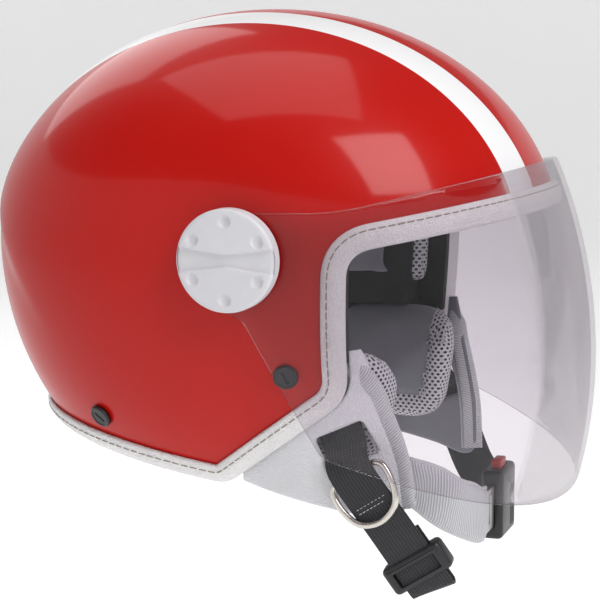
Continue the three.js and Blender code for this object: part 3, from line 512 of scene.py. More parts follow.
def box_uv(piece):
    """Flat UVs in millimetres, from whichever of the three axes each face looks along."""
    data = piece.data
    normals = np.empty(len(data.polygons) * 3)
    data.polygons.foreach_get("normal", normals)
    axis = np.abs(normals.reshape(-1, 3)).argmax(1)
    totals = np.empty(len(data.polygons), int)
    data.polygons.foreach_get("loop_total", totals)
    corner_axis = np.repeat(axis, totals)
    corner_point = np.empty(len(data.loops), int)
    data.loops.foreach_get("vertex_index", corner_point)
    points = np.empty(len(data.vertices) * 3)
    data.vertices.foreach_get("co", points)
    at = points.reshape(-1, 3)[corner_point] / MM
    first = np.where(corner_axis == 0, at[:, 1], at[:, 0])
    second = np.where(corner_axis == 2, at[:, 1], at[:, 2])
    layer = data.uv_layers.get("UVMap") or data.uv_layers.new(name="UVMap")
    layer.data.foreach_set("uv", np.stack([first, second], 1).ravel())


def sharpen(piece, angle=35):
    """Keeps edges crisp where two faces meet at more than an angle."""
    edge_angle = math.radians(angle)
    shape = bmesh.new()
    shape.from_mesh(piece.data)
    for edge in shape.edges:
        if len(edge.link_faces) == 2 and edge.calc_face_angle(0) > edge_angle:
            edge.smooth = False
    shape.to_mesh(piece.data)
    shape.free()


def applied(piece):
    """Turns a piece's modifiers into mesh."""
    bpy.context.view_layer.update()
    graph = bpy.context.evaluated_depsgraph_get()
    flat = bpy.data.meshes.new_from_object(piece.evaluated_get(graph))
    piece.modifiers.clear()
    piece.data = flat


def smoothed(piece):
    for face in piece.data.polygons:
        face.use_smooth = True


def unit_rows(vectors):
    return vectors / np.linalg.norm(vectors, axis=1)[:, None]


def square_to(along, vectors):
    """Directions nearest to vectors that are at right angles to the directions along a line."""
    return unit_rows(vectors - (vectors * along).sum(1)[:, None] * along)


def distances_along(line):
    """Distance travelled along a line at each of its points."""
    return np.concatenate([[0], np.cumsum(np.linalg.norm(np.diff(line, axis=0), axis=1))])


def ring_faces(rings, sides, closed=False):
    """Faces between rings of points; when closed, the last ring also joins the first."""
    return [(i * sides + j, i * sides + (j + 1) % sides,
             (i + 1) % rings * sides + (j + 1) % sides, (i + 1) % rings * sides + j)
            for i in range(rings if closed else rings - 1) for j in range(sides)]


def end_faces(rings, sides):
    """The flat faces that close a run of rings at its two ends."""
    return [tuple(reversed(range(sides))), tuple(range((rings - 1) * sides, rings * sides))]


def joined(parts):
    """One list of points and one of faces from several small (points, faces) bodies."""
    points, faces = [], []
    for more, skin in parts:
        faces += [tuple(i + len(points) for i in face) for face in skin]
        points += more
    return points, faces


# ---- Outlines in the side view ------------------------------------------------------------------


def rounded(corners, steps_each=8):
    """The closed outline through corners (forward, up, radius), with its corners rounded."""
    points = np.array([c[:2] for c in corners], float)
    count = len(points)
    outline = []
    for i, corner in enumerate(points):
        back = points[i - 1] - corner
        on = points[(i + 1) % count] - corner
        back /= np.linalg.norm(back)
        on /= np.linalg.norm(on)
        half = math.acos(np.clip(back @ on, -1, 1)) / 2
        cut = corners[i][2] / math.tan(half)
        start = corner + back * cut
        end = corner + on * cut
        if cut == 0:
            outline.append(corner)
            continue
        for t in np.linspace(0, 1, steps_each + 1):
            outline.append((1 - t) ** 2 * start + 2 * t * (1 - t) * corner + t * t * end)
    return np.array(outline)


def signed_distance(outline, forward, up):
    """Distance inside a closed outline; negative outside it."""
    shape = np.shape(forward)
    points = np.stack([np.ravel(forward), np.ravel(up)], 1)
    starts = outline
    ends = np.roll(outline, -1, 0)
    nearest = np.full(len(points), np.inf)
    crossings = np.zeros(len(points), int)
    for start, end in zip(starts, ends):
        along = end - start
        length = along @ along
        if length < 1e-12:
            continue
        share = np.clip(((points - start) @ along) / length, 0, 1)
        gap = points - start - share[:, None] * along
        nearest = np.minimum(nearest, (gap ** 2).sum(1))
        spans = (start[1] > points[:, 1]) != (end[1] > points[:, 1])
        if spans.any():
            crossing = start[0] + (points[:, 1] - start[1]) * along[0] / (along[1] or 1e-12)
            crossings += spans & (points[:, 0] < crossing)
    distance = np.sqrt(nearest)
    return np.where(crossings % 2 == 1, distance, -distance).reshape(shape)


RIM_OUTLINE = rounded(RIM, 12)


def rim_distance(points):
    return signed_distance(RIM_OUTLINE, -points[..., 1], points[..., 2])


# ---- Surfaces: each gives a point for two parameters and a depth ---------------------------------


def egg_half_width(forward, up, depth=0.0):
    y = -forward - SHELL_CENTRE_Y
    z = up - SHELL_CENTRE_Z
    across = np.hypot(
        y / (np.where(y < 0, SHELL_FRONT, SHELL_REAR) - depth),
        z / (np.where(z > 0, SHELL_TOP, SHELL_BOTTOM) - depth),
    )
    return (SHELL_HALF_WIDTH - depth) * np.sqrt(np.maximum(0, 1 - across ** SIDE_FULLNESS))


def egg(turn, polar, depth):
    """The shell's egg: turn goes round the X axis, polar from the left side to the right."""
    across = np.sin(polar)
    swell = np.maximum(across, 1e-9) ** (2 / SIDE_FULLNESS)
    y = swell * np.cos(turn)
    z = swell * np.sin(turn)
    return np.stack([
        (SHELL_HALF_WIDTH - depth) * np.cos(polar),
        SHELL_CENTRE_Y + y * (np.where(y < 0, SHELL_FRONT, SHELL_REAR) - depth),
        SHELL_CENTRE_Z + z * (np.where(z > 0, SHELL_TOP, SHELL_BOTTOM) - depth),
    ], -1)


def jaw_line(forward):
    """Height of the shell's lower edge under the cheek and jaw."""
    rear, cheek, jaw = RIM[0], RIM[1], RIM[2]
    return np.interp(forward, [rear[0], cheek[0], jaw[0]], [rear[1], cheek[1], jaw[1]])


def hanging(side):
    """Surface of what hangs below the shell's edge; its parameters are forward and up."""
    def surface(forward, up, depth):
        edge = jaw_line(forward)
        width = egg_half_width(forward, np.maximum(up, edge), depth)
        out = width - SKIRT_LEAN * np.maximum(0, edge - up)
        return np.stack([side * out, -forward, up + 0 * forward], -1)
    return surface


def barrel(turn, along, depth):
    """The visor's barrel: turn is 0 at the front and positive towards the left."""
    power = 2 / BARREL_FULLNESS
    front_bow = np.sqrt(1 - (along / BARREL_FRONT_BOW) ** 2)
    side_bow = np.sqrt(1 - (along / BARREL_SIDE_BOW) ** 2)
    sideways = np.sign(np.sin(turn)) * np.abs(np.sin(turn)) ** power
    frontways = np.sign(np.cos(turn)) * np.abs(np.cos(turn)) ** power
    ahead = frontways * (VISOR_REACH - depth) * front_bow
    forward = BARREL_FORWARD + ahead * math.cos(VISOR_LEAN) - along * math.sin(VISOR_LEAN)
    up = BARREL_UP + ahead * math.sin(VISOR_LEAN) + along * math.cos(VISOR_LEAN)
    return np.stack([sideways * (VISOR_HALF_WIDTH - depth) * side_bow, -forward, up], -1)


# ---- Patches: a closed skin over the part of a surface that lies inside an outline ---------------


def settle(surface, inside, u, v, level):
    """Slides points along a surface until they are at a given distance inside."""
    step = 1e-4
    u = u.copy()
    v = v.copy()
    for _ in range(8):
        here = inside(surface(u, v, 0.0))
        slope_u = (inside(surface(u + step, v, 0.0)) - inside(surface(u - step, v, 0.0))) / (2 * step)
        slope_v = (inside(surface(u, v + step, 0.0)) - inside(surface(u, v - step, 0.0))) / (2 * step)
        size_u = np.linalg.norm(surface(u + step, v, 0.0) - surface(u - step, v, 0.0), axis=-1) / (2 * step)
        size_v = np.linalg.norm(surface(u, v + step, 0.0) - surface(u, v - step, 0.0), axis=-1) / (2 * step)
        along_u = slope_u / np.maximum(size_u, 1e-6) ** 2
        along_v = slope_v / np.maximum(size_v, 1e-6) ** 2
        pace = (level - here) / np.maximum(slope_u * along_u + slope_v * along_v, 1e-6)
        pace = np.clip(pace, -6, 6)
        u += pace * along_u
        v += pace * along_v
    return u, v


def patch(surface, us, vs, inside, levels, middle, half, wrap=False):
    """Points and faces of a closed skin. levels run from the core's edge out to 0, where its outer
    and inner layers meet; half(distance inside) is how far each lies from the middle depth."""
    u, v = (a.ravel() for a in np.meshgrid(us, vs, indexing="ij"))
    columns, rows = len(us), len(vs)
    ids = np.arange(columns * rows).reshape(columns, rows)
    if wrap:
        ids[:, 0] = ids[0, 0]
        ids[:, -1] = ids[0, -1]
    distance = inside(surface(u, v, 0.0))
    next_column = np.roll(ids, -1, 0) if wrap else ids[1:]
    this_column = ids if wrap else ids[:-1]
    cells = np.stack([
        this_column[:, :-1], next_column[:, :-1], next_column[:, 1:], this_column[:, 1:],
    ], -1).reshape(-1, 4)
    cells = cells[distance[cells].mean(1) > levels[0]]
    edges = {}
    for cell in cells.tolist():
        for a, b in zip(cell, cell[1:] + cell[:1]):
            if a != b:
                edges[(a, b)] = True
    border = {a: b for a, b in edges if (b, a) not in edges}
    ring = np.array(sorted(border))
    u[ring], v[ring] = settle(surface, inside, u[ring], v[ring], levels[0])
    faces = [tuple(dict.fromkeys(cell)) for cell in cells.tolist()]
    order = {a: i for i, a in enumerate(ring.tolist())}
    before = ring.tolist()
    before_u, before_v = u[ring], v[ring]
    for level in levels[1:]:
        before_u, before_v = settle(surface, inside, before_u, before_v, level)
        start = len(u)
        u = np.concatenate([u, before_u])
        v = np.concatenate([v, before_v])
        now = list(range(start, start + len(ring)))
        for a, b in border.items():
            i, j = order[a], order[b]
            faces.append((before[j], before[i], now[i], now[j]))
        before = now
    distance = np.maximum(inside(surface(u, v, 0.0)), 0)
    distance[before] = 0
    used = np.unique(np.concatenate([np.array(f) for f in faces]))
    front = surface(u, v, middle - half(distance))
    back = surface(u, v, middle + half(distance))
    shared = set(before)
    front_id = {a: i for i, a in enumerate(used.tolist())}
    back_id = dict(front_id)
    points = [front[a] for a in used]
    for a in used.tolist():
        if a not in shared:
            back_id[a] = len(points)
            points.append(back[a])
    skin = [[front_id[a] for a in f] for f in faces]
    skin += [[back_id[a] for a in reversed(f)] for f in faces]
    return np.array(points), skin


def swollen(thickness, reach, power=2.0):
    """Half thickness that rises from 0 at the edge to its full value at a distance inside."""
    def half(distance):
        share = 1 - np.clip(distance / reach, 0, 1)
        return thickness / 2 * (1 - share ** power) ** (1 / power)
    return half


def edge_levels(reach, count=6):
    """Distances from reach out to 0, closer together towards the edge."""
    return [reach * (1 - math.sin(i / count * math.pi / 2)) for i in range(count)] + [0.0]


# ---- Shell and edge trim ------------------------------------------------------------------------

CREASE = ((-150, 28), (-92, -47))     # side view line of the soft ridge low on the shell's rear
CREASE_HEIGHT = 1.6


def crease_height(points):
    """A ridge that rises gently from above the line and drops off more quickly below it."""
    start, end = (np.array(p, float) for p in CREASE)
    along = (end - start) / np.linalg.norm(end - start)
    rel = np.stack([-points[..., 1] - start[0], points[..., 2] - start[1]], -1)
    above = rel @ np.array([-along[1], along[0]])
    travelled = rel @ along / np.linalg.norm(end - start)
    fade = np.clip((1.0 - travelled) / 0.5, 0, 1) ** 1.5
    gentle = np.exp(-(np.maximum(above, 0) / 26) ** 2)
    steep = np.exp(-(np.minimum(above, 0) / 5) ** 2)
    return CREASE_HEIGHT * fade * np.where(above > 0, gentle, steep)


def shell():
    """The painted shell, with its inner face left black."""
    turns = np.linspace(0, 2 * math.pi, 220, endpoint=False)
    polars = np.linspace(0, math.pi, 131)
    points, faces = patch(egg, turns, polars, rim_distance, edge_levels(SHELL_EDGE_ROUND, 4),
                          SHELL_WALL / 2, swollen(SHELL_WALL, SHELL_EDGE_ROUND), wrap=True)
    centre = np.array([0, SHELL_CENTRE_Y, SHELL_CENTRE_Z])
    points = points + unit_rows(points - centre) * crease_height(points)[:, None]
    piece = mesh_piece("shell", points, faces, [RED, BLACK_PLASTIC], ["outer_shell"], "red_paint")

    def looks_inwards(centres, normals):
        return ((centres - centre) * normals).sum(1) < -20

    paint(piece, looks_inwards)


def rim_path(spacing=1.6):
    """Points along the shell's edge, all the way round, with the directions outwards and towards
    the edge, and the distance travelled."""
    front, corners, rear = RIM[4], RIM[3:0:-1], RIM[0]
    outline = rounded((front, *corners, rear, (BEYOND, -BEYOND, 0)), 24)
    line = outline[:-1]
    reach = distances_along(line)
    dense = np.linspace(0, reach[-1], 60001)
    forward = np.interp(dense, reach, line[:, 0])
    up = np.interp(dense, reach, line[:, 1])
    width = egg_half_width(forward, up)
    on_shell = np.flatnonzero(width > 0)
    first, last = on_shell[0], on_shell[-1]
    half = np.stack([width, -forward, up], 1)[first:last + 1]
    half[0, 0] = half[-1, 0] = 0
    other = half[-2:0:-1] * (-1, 1, 1)
    loop = np.concatenate([half, other, half[:1]])
    travelled = distances_along(loop)
    count = int(travelled[-1] / spacing)
    even = np.linspace(0, travelled[-1], count, endpoint=False)
    points = np.stack([np.interp(even, travelled, loop[:, k]) for k in range(3)], 1)
    tangents = unit_rows(np.roll(points, -2, 0) - np.roll(points, 2, 0))
    outwards = egg_normal(points)
    edgewards = np.cross(tangents, outwards)
    edgewards *= np.sign((edgewards * rim_inwards(points)).sum(1) * -1)[:, None]
    return points, outwards, edgewards, even


def egg_normal(points):
    y = points[:, 1] - SHELL_CENTRE_Y
    z = points[:, 2] - SHELL_CENTRE_Z
    reach_y = np.where(y < 0, SHELL_FRONT, SHELL_REAR)
    reach_z = np.where(z > 0, SHELL_TOP, SHELL_BOTTOM)
    across = np.hypot(y / reach_y, z / reach_z)
    bulge = SIDE_FULLNESS * across ** (SIDE_FULLNESS - 2)
    normal = np.stack([
        2 * points[:, 0] / SHELL_HALF_WIDTH ** 2, bulge * y / reach_y ** 2, bulge * z / reach_z ** 2,
    ], 1)
    return unit_rows(normal)


def rim_inwards(points):
    """Direction in the side view in which the distance inside the rim grows."""
    step = 0.5
    grow = np.zeros_like(points)
    for axis in (1, 2):
        move = np.zeros(3)
        move[axis] = step
        grow[:, axis] = rim_distance(points + move) - rim_distance(points - move)
    return grow


def trim_profile(count=14):
    """Cross-section of the piping: (towards the edge, outwards) pairs, round the shell's edge."""
    over = [(-TRIM_COVER, 0.1), (-TRIM_COVER, 1.2), (-TRIM_COVER + 0.8, 2.1)]
    crown = [(-TRIM_COVER + 1.9 + 7.2 * t, 2.45 + 0.9 * math.sin(math.pi * t) ** 0.8)
             for t in np.linspace(0, 1, count)]
    bend = [(0.6 + 2.0 * math.sin(a), 0.4 + 2.05 * math.cos(a)) for a in np.linspace(0.25, math.pi / 2, 6)]
    lip = [(2.6, -3), (2.5, -7), (2.2, -TRIM_LIP_DEPTH), (0.9, -TRIM_LIP_DEPTH), (0.5, -7), (0.3, -0.4)]
    return np.array(over + crown + bend + lip)


def trim():
    """Leather piping carried round the shell's edge: one seam, and a slight unevenness."""
    points, outwards, edgewards, travelled = rim_path()
    profile = trim_profile()
    seam = TRIM_SEAM_DEPTH * np.exp(-((travelled - TRIM_SEAM_AT) / TRIM_SEAM_WIDTH) ** 2)
    sunk = profile[:, 1] > 1.5
    ripple = TRIM_RIPPLE * np.sin(travelled * 0.9) * np.sin(travelled * 0.23 + 1)
    rings = []
    for i in range(len(points)):
        high = profile[:, 1] - sunk * (seam[i] + ripple[i])
        rings.append(points[i] + profile[:, :1] * edgewards[i] + high[:, None] * outwards[i])
    uv = [(at, width) for at in travelled for width in distances_along(profile)]
    faces = ring_faces(len(points), len(profile), closed=True)
    mesh_piece("edge_trim_leather", np.concatenate(rings), faces, [TRIM], ["edge_trim"],
               "white_leather", uv=uv)
    stitch_line = points + edgewards * (-TRIM_COVER + 2.6) + outwards * 2.75
    stitch_row("edge_trim_stitches", stitch_line, outwards, BEIGE_THREAD, "white_leather")


TRIM_SEAM_AT = 905.0                  # where the ends of the trim meet, measured along it
TRIM_SEAM_DEPTH = 0.7
TRIM_SEAM_WIDTH = 0.9
TRIM_RIPPLE = 0.12
STITCH_PITCH = 4.4
STITCH_LENGTH = 3.4
STITCH_RADIUS = 0.33


def capsule(start, end, radius, sides=6):
    """Points and faces of a small sausage between two points."""
    axis = end - start
    length = np.linalg.norm(axis)
    axis = axis / length
    side = np.cross(axis, (0.3, 0.5, 0.8))
    side /= np.linalg.norm(side)
    other = np.cross(axis, side)
    points = [start - axis * radius * 0.4]
    for share, scale in ((0, 0.7), (0.15, 1), (0.85, 1), (1, 0.7)):
        for k in range(sides):
            a = 2 * math.pi * k / sides
            points.append(start + axis * length * share
                          + radius * scale * (math.cos(a) * side + math.sin(a) * other))
    points.append(end + axis * radius * 0.4)
    last = len(points) - 1
    faces = []
    for k in range(sides):
        n = (k + 1) % sides
        faces.append((0, 1 + n, 1 + k))
        for r in range(3):
            a = 1 + r * sides
            faces.append((a + k, a + n, a + sides + n, a + sides + k))
        faces.append((last, last - sides + k, last - sides + n))
    return points, faces


def stitch_row(name, path, lifts, made, slot, pitch=STITCH_PITCH, length=STITCH_LENGTH,
               radius=STITCH_RADIUS):
    """Stitches one after another along a path, each half sunk; lifts is the outward direction."""
    travelled = distances_along(path)

    def along(values, distance):
        return np.array([np.interp(distance, travelled, values[:, k]) for k in range(3)])

    stitches = []
    for k in range(int(travelled[-1] / pitch)):
        begin = k * pitch
        points, faces = capsule(along(path, begin), along(path, begin + length), radius)
        lift = along(lifts, begin + length / 2) * radius * 0.35
        stitches.append(([p + lift for p in points], faces))
    mesh_piece(name, *joined(stitches), [made], (), slot)


# ---- Visor --------------------------------------------------------------------------------------

VISOR_EDGE = rounded(VISOR_OUTLINE, 16)


def visor():
    """Clear sheet with a bore for the pivot in each of its ears."""
    def inside(points):
        forward, up = -points[..., 1], points[..., 2]
        edge = signed_distance(VISOR_EDGE, forward, up)
        bore = np.hypot(forward, up) - VISOR_BORE_RADIUS
        return np.minimum(edge, bore)

    turns = np.radians(np.linspace(-106, 106, 231))
    alongs = np.linspace(-112, 92, 99)
    points, faces = patch(barrel, turns, alongs, inside, edge_levels(VISOR_EDGE_ROUND, 4),
                          VISOR_THICKNESS / 2, swollen(VISOR_THICKNESS, VISOR_EDGE_ROUND))
    mesh_piece("visor_sheet", points, faces, [CLEAR], ["visor"], "clear_plastic", "visor")


# ---- Knobs and rivets ---------------------------------------------------------------------------


def disc(radii, heights, sides):
    """A body turned about X from rings at given radii and heights."""
    points = []
    angles = np.linspace(0, 2 * math.pi, sides, endpoint=False)
    for radius, height in zip(radii, heights):
        ring = np.stack([0 * angles + height, radius * np.cos(angles), radius * np.sin(angles)], 1)
        points += ring.tolist()
    return np.array(points), ring_faces(len(radii), sides) + end_faces(len(radii), sides)


def smooth_step(value, low, high):
    share = np.clip((value - low) / (high - low), 0, 1)
    return share * share * (3 - 2 * share)


def knob_relief(y, z):
    """Depth of the finger channel, which is shaped like a bow tie, and of the six dimples."""
    widening = (KNOB_CHANNEL_END - KNOB_CHANNEL_WAIST) / 2
    half_width = KNOB_CHANNEL_WAIST / 2 + widening * np.abs(y) / KNOB_RADIUS
    channel = KNOB_CHANNEL_DEPTH * (1 - smooth_step(np.abs(z) - half_width, -0.35, 0.35))
    dimples = 0
    for i in range(6):
        angle = (i + 0.5) * math.pi / 3
        off = np.hypot(y - KNOB_DIMPLE_CIRCLE * math.cos(angle), z - KNOB_DIMPLE_CIRCLE * math.sin(angle))
        bowl = np.sqrt(np.clip(1 - (off / KNOB_DIMPLE_RADIUS) ** 2, 0, 1))
        dimples = dimples + KNOB_DIMPLE_DEPTH * bowl
    return np.maximum(channel, dimples)


def knob(label, side):
    """Pivot knob: a boss, a chamfered back, a rounded edge and a slightly domed, carved face."""
    low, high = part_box(f"knob_{label}")
    face = max(abs(low.x), abs(high.x)) / MM
    back = face - KNOB_THICKNESS
    boss_end = min(abs(low.x), abs(high.x)) / MM
    chamfer = 0.6
    round_across, round_deep = 1.8, 1.5
    dome = 0.25
    radii = [3.3, KNOB_BOSS_RADIUS, KNOB_BOSS_RADIUS, KNOB_RADIUS - chamfer, KNOB_RADIUS]
    heights = [boss_end, boss_end, back, back, back + chamfer]
    for a in np.linspace(0, math.pi / 2, 7):
        radii.append(KNOB_RADIUS - round_across + round_across * math.cos(a))
        heights.append(face - round_deep + round_deep * math.sin(a))
    for radius in np.arange(KNOB_RADIUS - round_across - 0.4, 0.2, -0.4):
        radii.append(radius)
        heights.append(face + dome * (1 - (radius / KNOB_RADIUS) ** 2))

    points, faces = disc(radii, heights, 180)
    on_face = points[:, 0] > face - 1.2
    depth = knob_relief(points[:, 1], points[:, 2])
    points[:, 0] -= np.where(on_face, depth, 0)
    points[:, 0] *= side
    piece = mesh_piece(f"knob_cap_{label}", points, faces, [WHITE_PLASTIC], [f"knob_{label}"],
                       "white_plastic", f"knob_{label}")
    sharpen(piece, 40)


def shell_frame(forward, up, side):
    """Matrix that stands a piece made about +X on the shell, at right angles to its surface."""
    at = np.array([[side * egg_half_width(forward, up), -forward, up]])
    outwards = Vector(egg_normal(at)[0])
    turn = Vector((1, 0, 0)).rotation_difference(outwards).to_matrix().to_4x4()
    return Matrix.Translation(Vector(at[0])) @ turn


def rivet(kind, label, side):
    """Stud with a shank, and a head that has a raised rim and a shallow slanting slot."""
    radii = [RIVET_SHANK_RADIUS, RIVET_SHANK_RADIUS, RIVET_HEAD_RADIUS - 0.2, RIVET_HEAD_RADIUS]
    heights = [-RIVET_SHANK_LENGTH, 0.5, 0.5, 0.8]
    edge_round, rim_width, rim_height = 0.9, 0.3, 0.35
    rim_top = RIVET_HEAD_HEIGHT - 0.2
    for a in np.linspace(0, math.pi / 2, 6):
        radii.append(RIVET_HEAD_RADIUS - edge_round + edge_round * math.cos(a))
        heights.append(rim_top - edge_round + edge_round * math.sin(a))
    for radius in np.arange(RIVET_HEAD_RADIUS - 1.1, 0.1, -0.22):
        past_rim = RIVET_HEAD_RADIUS - edge_round - rim_width - radius
        radii.append(radius)
        heights.append(rim_top - rim_height * smooth_step(past_rim, 0, 0.4))
    points, faces = disc(radii, heights, 72)
    slant = math.radians(35)
    off_slot = np.abs(points[:, 1] * math.sin(slant) - points[:, 2] * math.cos(slant))
    along_slot = np.abs(points[:, 1] * math.cos(slant) + points[:, 2] * math.sin(slant))
    in_slot = (1 - smooth_step(off_slot, 0.4, 0.75)) * (1 - smooth_step(along_slot, 2.6, 3.0))
    slot_depth = 0.6
    points[:, 0] -= np.where(points[:, 0] > 1.5, slot_depth * in_slot, 0)
    frame_at = np.array(shell_frame(*RIVETS[kind], side))
    points = points @ frame_at[:3, :3].T + frame_at[:3, 3]
    piece = mesh_piece(f"{kind}_stud_{label}", points, faces, [BLACK_PLASTIC], [f"{kind}_{label}"],
                       "black_plastic")
    sharpen(piece, 40)


# ---- Padding ------------------------------------------------------------------------------------


def inflate(piece, cap, voxel=4.0, pressure=4.0, frames=20):
    """Blows a pad up as cloth, with every point held within a distance of where it was."""
    remesh = piece.modifiers.new("even", "REMESH")
    remesh.mode = "VOXEL"
    remesh.voxel_size = voxel * MM
    applied(piece)
    before = np.array([v.co for v in piece.data.vertices])
    cloth = piece.modifiers.new("cloth", "CLOTH")
    cloth.settings.quality = 5
    cloth.settings.use_pressure = True
    cloth.settings.uniform_pressure_force = pressure
    cloth.settings.tension_stiffness = 25
    cloth.settings.bending_stiffness = 2
    cloth.settings.effector_weights.gravity = 0
    cloth.point_cache.frame_start = 1
    cloth.point_cache.frame_end = frames
    scene = bpy.context.scene
    for step in range(1, frames + 1):
        scene.frame_set(step)
    applied(piece)
    scene.frame_set(1)
    moved = np.array([v.co for v in piece.data.vertices]) - before
    length = np.linalg.norm(moved, axis=1)
    limit = np.minimum(1, cap * MM / np.maximum(length, 1e-9))
    placed = before + moved * limit[:, None]
    piece.data.vertices.foreach_set("co", placed.ravel())
    smooth = piece.modifiers.new("finer", "SUBSURF")
    smooth.levels = smooth.render_levels = 1
    applied(piece)
    smoothed(piece)


def sew(piece, groove, depth, width):
    """Pulls a seam into a pad: points within width of groove(points) = 0 sink along their normals."""
    data = piece.data
    points = np.array([v.co for v in data.vertices]) / MM
    normals = np.array([v.normal for v in data.vertices])
    near = np.clip(1 - (groove(points) / width) ** 2, 0, 1) ** 2
    points -= normals * (depth * near)[:, None]
    data.vertices.foreach_set("co", (points * MM).ravel())
    data.update()


def soft_pad(name, surface, us, vs, inside, middle, thickness, reach, made, stands_for,
             wrap=False, cap=1.6):
    """A pad that lies along a surface, with its thickness swelling up from its edge."""
    points, faces = patch(surface, us, vs, inside, edge_levels(reach, 6), middle,
                          swollen(thickness, reach, 2.2), wrap)
    piece = mesh_piece(name, points, faces, made)
    inflate(piece, cap)
    register(piece, stands_for)
    return piece


EGG_TURNS = np.linspace(0, 2 * math.pi, 200, endpoint=False)
EGG_POLARS = np.linspace(0, math.pi, 121)


def crown_liner():
    """Thin lining over the foam: two long seams, and a dark knitted hem round its lower edge."""
    def inside(points):
        return np.minimum(rim_distance(points) - REBATE_WIDTH - 1.2, points[..., 2] - LINER_LOWEST)

    middle = FOAM_DEPTH + PAD_GAP + LINER_THICKNESS / 2 + 0.1
    piece = soft_pad("crown_lining", egg, EGG_TURNS, EGG_POLARS, inside, middle, LINER_THICKNESS - 0.8,
                     4.0, [LINING, DARK_KNIT], ["crown_liner"], wrap=True, cap=0.6)
    sew(piece, lambda p: p[:, 2] - LINER_LOWEST - LINER_HEM, 1.2, 2.4)
    sew(piece, lambda p: np.abs(p[:, 0]) - LINER_PANEL_SEAM, 1.0, 2.4)
    paint(piece, lambda centres, normals: centres[:, 2] < LINER_LOWEST + LINER_HEM)
    box_uv(piece)


def border_inside(extra):
    """Distance inside the band that fills the foam's rebate, and inside what extra adds."""
    def inside(points):
        rim = rim_distance(points)
        return np.minimum(np.minimum(rim - 0.6, REBATE_WIDTH - 1.2 - rim), extra(points))
    return inside


def border_pad(name, extra, stands_for):
    """A length of the padding that fills the foam's rebate."""
    middle = (REBATE_DEPTH + PAD_GAP + BORDER_PAD_DEPTH) / 2
    thickness = BORDER_PAD_DEPTH - REBATE_DEPTH - PAD_GAP - 1.0
    piece = soft_pad(name, egg, EGG_TURNS, EGG_POLARS, border_inside(extra), middle, thickness, 5.0,
                     [MESH_FABRIC], stands_for, wrap=True, cap=0.8)
    box_uv(piece)


def border_pads():
    border_pad("brow_pad_mesh", lambda p: -p[..., 1] - TEMPLE_FRONT - PAD_GAP, ["brow_pad"])
    border_pad("neck_roll_mesh", lambda p: np.minimum(p[..., 1] + NECK_ROLL_FRONT, -p[..., 2]),
               ["neck_roll"])
    for label, side in SIDES:
        def extra(p, side=side):
            ends = np.minimum(-p[..., 1], TEMPLE_FRONT + p[..., 1])
            return np.minimum(np.minimum(ends, p[..., 2] - TEMPLE_LOWEST), side * p[..., 0] - 0.5)

        border_pad(f"temple_pad_mesh_{label}", extra, [f"temple_pad_{label}"])


CHEEK_EDGE = rounded(CHEEK_OUTLINE, 10)
CHEEK_BORDER = 12.0                   # width of the mesh round the cheek pad's smooth face


def cheek_pad(label, side):
    """Thick pad whose smooth face has a border of mesh along its front and lower edges."""
    def inside(points):
        return signed_distance(CHEEK_EDGE, -points[..., 1], points[..., 2])

    def mesh_border(points):
        forward, up = -points[:, 1], points[:, 2]
        edge = signed_distance(CHEEK_EDGE, forward, up)
        no_border = (forward < 6) | ((up > -62) & (forward < 44))
        return np.where(no_border, BEYOND, edge)

    forwards = np.linspace(-20, 66, 66)
    ups = np.linspace(-106, -38, 53)
    middle = REBATE_DEPTH + PAD_GAP + CHEEK_THICKNESS / 2
    piece = soft_pad(f"cheek_pad_cover_{label}", hanging(side), forwards, ups, inside, middle,
                     CHEEK_THICKNESS - 1.5, 10.0, [FACE_FABRIC, MESH_FABRIC], [f"cheek_pad_{label}"],
                     cap=2.0)
    sew(piece, lambda p: mesh_border(p) - CHEEK_BORDER, 1.6, 2.6)
    paint(piece, lambda centres, normals: mesh_border(centres) < CHEEK_BORDER)
    box_uv(piece)


SKIRT_EDGE = rounded(SKIRT_OUTLINE, 12)


def slot_distance(forward, up):
    """Distance outside the slot that the strap comes through."""
    tilt_cos, tilt_sin = math.cos(WEBBING_TILT), math.sin(WEBBING_TILT)
    ahead, above = forward - SLOT[0], up - SLOT[1]
    across = np.abs(ahead * tilt_cos + above * tilt_sin) - SLOT_WIDTH / 2 + SLOT_CORNER
    tall = np.abs(above * tilt_cos - ahead * tilt_sin) - SLOT_HEIGHT / 2 + SLOT_CORNER
    outside = np.hypot(np.maximum(across, 0), np.maximum(tall, 0))
    return outside + np.minimum(np.maximum(across, tall), 0) - SLOT_CORNER


def skirt(label, side):
    """Leather flap below the shell's edge, lined on its inner face, with the strap's slot in it."""
    def inside(points):
        forward, up = -points[..., 1], points[..., 2]
        below_trim = -rim_distance(points) - TRIM_STANDOFF + 0.8
        flap = np.minimum(signed_distance(SKIRT_EDGE, forward, up), below_trim)
        return np.minimum(flap, slot_distance(forward, up))

    edge_round = SKIRT_THICKNESS / 2
    middle = SKIRT_DEPTH + SKIRT_THICKNESS / 2
    surface = hanging(side)
    forwards = np.linspace(-34, 72, 72)
    ups = np.linspace(-126, -36, 61)
    points, faces = patch(surface, forwards, ups, inside, edge_levels(edge_round, 5), middle,
                          swollen(SKIRT_THICKNESS - 0.4, edge_round))
    piece = mesh_piece(f"side_skirt_cover_{label}", points, faces, [SKIRT_LEATHER, FACE_FABRIC],
                       [f"side_skirt_{label}"], "white_leather")
    paint(piece, lambda centres, normals: normals[:, 0] * side < -0.2)
    box_uv(piece)
    skirt_binding(label, surface, middle)


